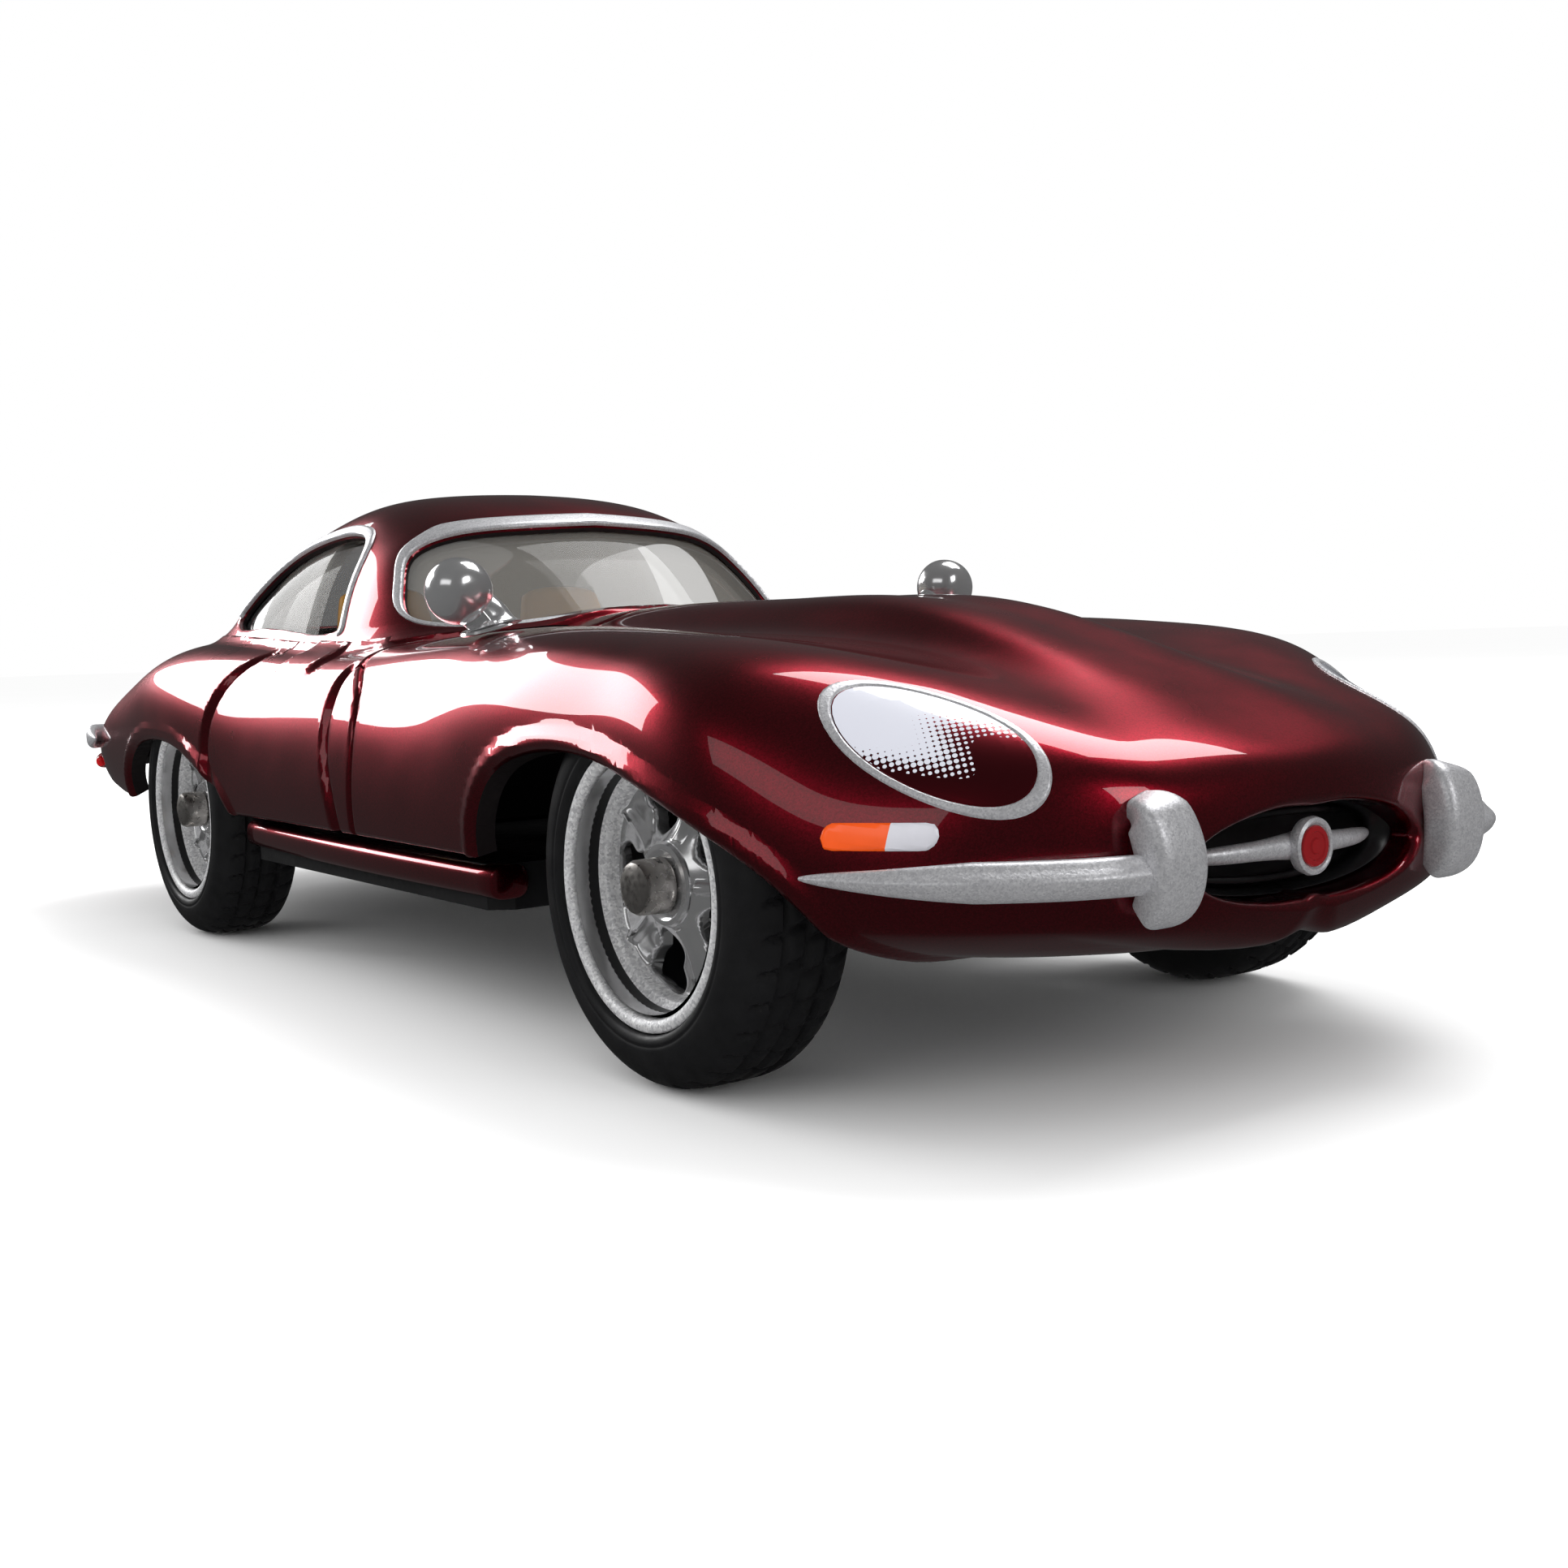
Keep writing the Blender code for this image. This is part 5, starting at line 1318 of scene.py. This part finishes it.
def make_seat(side, y):
    """A bucket seat: crowned cushion and a rounded back with three raised pleats."""
    cushion = [(-33.5, y * 4.6, 7.15), (-32.0, y * 4.6, 7.1), (-30.0, y * 4.6, 7.15), (-28.4, y * 4.6, 7.3)]
    cushion = smooth_line(cushion, 6)
    sweep(f"seat_cushion_{side}", cushion, [(2.45, 0.62)] * len(cushion), SEAT_TAN_LIT, BODY, 3.2, 48, ends=(0.3, 0.4),
          replaces=[f"seat_{side}"])
    back = smooth_line([(-33.3, y * 4.6, 6.9), (-33.3, y * 4.6, 9.2), (-33.75, y * 4.6, 12.0),
                        (-34.35, y * 4.6, 14.9)], 8)
    share = np.linspace(0, 1, len(back))
    wide = 2.5 - 0.5 * np.clip((share - 0.55) / 0.45, 0, 1) ** 2
    sweep(f"seat_back_{side}", back, np.column_stack([wide, 0.72 - 0.2 * share]), SEAT_TAN_LIT, BODY, 3.2, 48, (1, 0, 0),
          (0.2, 0.5))
    for n, offset in enumerate((-1.0, 0.0, 1.0)):
        pleat = back[6:-3] + (0.62, offset, 0)
        sweep(f"seat_pleat_{side}_{n}", pleat, [(0.4, 0.22)] * len(pleat), SEAT_TAN_LIT, BODY, 2.2, 20, (1, 0, 0), (0.2, 0.2))


def make_steering_wheel():
    centre = np.array([-26.6, -4.4, 11.1])
    axis = np.array([math.cos(math.radians(25)) * -1, 0, math.sin(math.radians(25))])
    turns = np.arange(16) * 2 * math.pi / 16
    rim = [(1.52 + 0.14 * math.cos(t), 0.14 * math.sin(t)) for t in turns]
    turned("steering_rim", rim, BLACK, BODY, centre, axis, 48, ["steering_wheel"], closed=True)
    hub = [(0.0, -1.3), (0.16, -1.3), (0.18, -0.2), (0.42, -0.1), (0.42, 0.1), (0.3, 0.18), (0.0, 0.2)]
    turned("steering_boss", hub, STEEL, BODY, centre, axis, 32)
    side = np.cross(axis, (0, 1, 0))
    for n, turn in enumerate((0.4, math.pi - 0.4, -math.pi / 2)):
        ahead = np.array([0, 1, 0]) * math.cos(turn) + side * math.sin(turn)
        path = [centre + ahead * r for r in (0.2, 0.8, 1.45)]
        sweep(f"steering_spoke_{n}", path, [(0.17, 0.07)] * 3, STEEL, BODY, 2.5, 16, axis)


for side, y in SIDES:
    make_seat(side, y)
make_steering_wheel()

# ---------------------------------------------------------------- finishes on the CAD nodes that stay


def painted_by_place(name, material, other, tests):
    """The material, with another colour where any test holds: an axis, whether its size counts, and a range."""
    tree = material.node_tree
    shader = tree.nodes["Principled BSDF"]
    where = tree.nodes.new("ShaderNodeTexCoord").outputs["Object"]
    parts = tree.nodes.new("ShaderNodeSeparateXYZ")
    tree.links.new(where, parts.inputs[0])
    total = 0.0
    for axis, absolute, operation, limit in tests:
        value = parts.outputs[axis]
        if absolute:
            value = math_node(tree, "ABSOLUTE", value)
        total = math_node(tree, "MAXIMUM", total, math_node(tree, operation, value, limit * MM))
    second = tree.nodes.new("ShaderNodeBsdfPrincipled")
    second.inputs["Base Color"].default_value = (*other, 1)
    second.inputs["Roughness"].default_value = 0.45
    chosen = tree.nodes.new("ShaderNodeMixShader")
    tree.links.new(total, chosen.inputs[0])
    tree.links.new(shader.outputs[0], chosen.inputs[1])
    tree.links.new(second.outputs[0], chosen.inputs[2])
    tree.links.new(chosen.outputs[0], tree.nodes["Material Output"].inputs["Surface"])
    material.name = name
    return material


def make_sill(side, y):
    """The rounded body-colour strip under the door, between the wheel arches."""
    path = smooth_line([(-9.0, y * 11.8, 4.95), (-16.0, y * 12.0, 4.97), (-24.0, y * 12.0, 5.0),
                        (-31.2, y * 11.8, 5.05)], 8)
    sweep(f"sill_{side}", path, [(0.7, 0.56)] * len(path), PAINT, BODY, 3.0, 36, ends=(0.2, 0.2), sharp=60)


for side, y in SIDES:
    make_sill(side, y)

TUB = painted_by_place("two_tone_tub", plastic("tub_plastic", (0.72, 0.3, 0.03), 0.4), (0.006, 0.006, 0.007), [
    ("Y", True, "GREATER_THAN", 8.25), ("X", False, "GREATER_THAN", FRONT_X - 21.75),
    ("Z", False, "LESS_THAN", 5.7)])

FINISH = {
    "chassis_base": BLACK, "interior_tub": TUB, "dashboard": BLACK, "engine_block": CAST,
    "bonnet_hinge_pin": STEEL, "axle_strap_front": BLACK, "axle_strap_rear": BLACK,
    "base_screw_front": STEEL, "base_screw_rear": STEEL,
}
for node, look in FINISH.items():
    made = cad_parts[node]
    made.data.materials.clear()
    made.data.materials.append(look)

# ---------------------------------------------------------------- studio


def make_floor():
    mesh = bpy.data.meshes.new("floor")
    reach = 4.0
    corners = [(-reach, -reach, 0), (reach, -reach, 0), (reach, reach, 0), (-reach, reach, 0)]
    mesh.from_pydata(corners, [], [(0, 1, 2, 3)])
    floor = bpy.data.objects.new("floor", mesh)
    bpy.context.scene.collection.objects.link(floor)
    look = Look("pale_floor", (0.97, 0.97, 0.97), 0.9, 0.0, Specular_IOR_Level=0.0)
    look.link(look.mix(look.noise(60.0), (0.96, 0.96, 0.96), (0.98, 0.98, 0.98)), "Base Color")
    mesh.materials.append(look.material)
    floor.visible_glossy = False


def soft_box(name, place_at, target, wide, tall, power):
    light = bpy.data.lights.new(name, "AREA")
    light.shape = "RECTANGLE"
    light.size = wide
    light.size_y = tall
    light.energy = power
    made = bpy.data.objects.new(name, light)
    made.location = place_at
    made.rotation_mode = "QUATERNION"
    made.rotation_quaternion = (Vector(target) - Vector(place_at)).to_track_quat("-Z", "Y")
    made.visible_camera = False
    bpy.context.scene.collection.objects.link(made)


def make_world():
    """Pale to the eye; dim and slightly graded in reflections, as in a dark studio with soft boxes."""
    world = bpy.data.worlds.new("studio")
    bpy.context.scene.world = world
    world.use_nodes = True
    nodes, links = world.node_tree.nodes, world.node_tree.links
    seen = nodes["Background"]
    seen.inputs["Color"].default_value = (1, 1, 1, 1)
    seen.inputs["Strength"].default_value = 1.0
    dim = nodes.new("ShaderNodeBackground")
    dim.inputs["Strength"].default_value = 0.07
    path = nodes.new("ShaderNodeLightPath")
    mixer = nodes.new("ShaderNodeMixShader")
    links.new(path.outputs["Is Glossy Ray"], mixer.inputs[0])
    links.new(seen.outputs[0], mixer.inputs[1])
    links.new(dim.outputs[0], mixer.inputs[2])
    links.new(mixer.outputs[0], nodes["World Output"].inputs["Surface"])


# Where the camera stands, in metres, and its azimuth, elevation and roll in degrees.
CAMERA_AT = (0.062855, -0.03691, 0.01215)
CAMERA_TURN = (53.65, 4.58, -1.86)
CAMERA_LENS = 39.49


def make_camera():
    """The photograph's view: from the front right corner, a little above the floor."""
    azimuth, elevation, roll_angle = (math.radians(v) for v in CAMERA_TURN)
    back = Vector((math.sin(azimuth) * math.cos(elevation), -math.cos(azimuth) * math.cos(elevation),
                   math.sin(elevation)))
    right = Vector((0, 0, 1)).cross(back).normalized()
    up = back.cross(right)
    c, s = math.cos(roll_angle), math.sin(roll_angle)
    columns = (right * c + up * s, up * c - right * s, back)
    data = bpy.data.cameras.new("camera")
    data.lens = CAMERA_LENS
    data.sensor_width = 36.0
    data.clip_start = 0.001
    camera = bpy.data.objects.new("camera", data)
    camera.matrix_world = Matrix.Translation(CAMERA_AT) @ Matrix(columns).transposed().to_4x4()
    bpy.context.scene.collection.objects.link(camera)
    bpy.context.scene.camera = camera


make_floor()
make_world()
make_camera()
soft_box("rear_box", (-0.36, -0.1, 0.155), (0.02, -0.012, 0.01), 0.25, 0.145, 0.68)
soft_box("top_box", (-0.03, 0.17, 0.3), (0.02, 0, 0.01), 0.2, 0.16, 0.55)
soft_box("side_box", (0.1, -0.34, 0.2), (0.0, 0, 0.01), 0.3, 0.1, 0.08)
soft_box("nose_box", (0.3, 0.05, 0.16), (0.02, 0, 0.01), 0.1, 0.1, 0.1)
bpy.context.scene.view_settings.view_transform = "Standard"
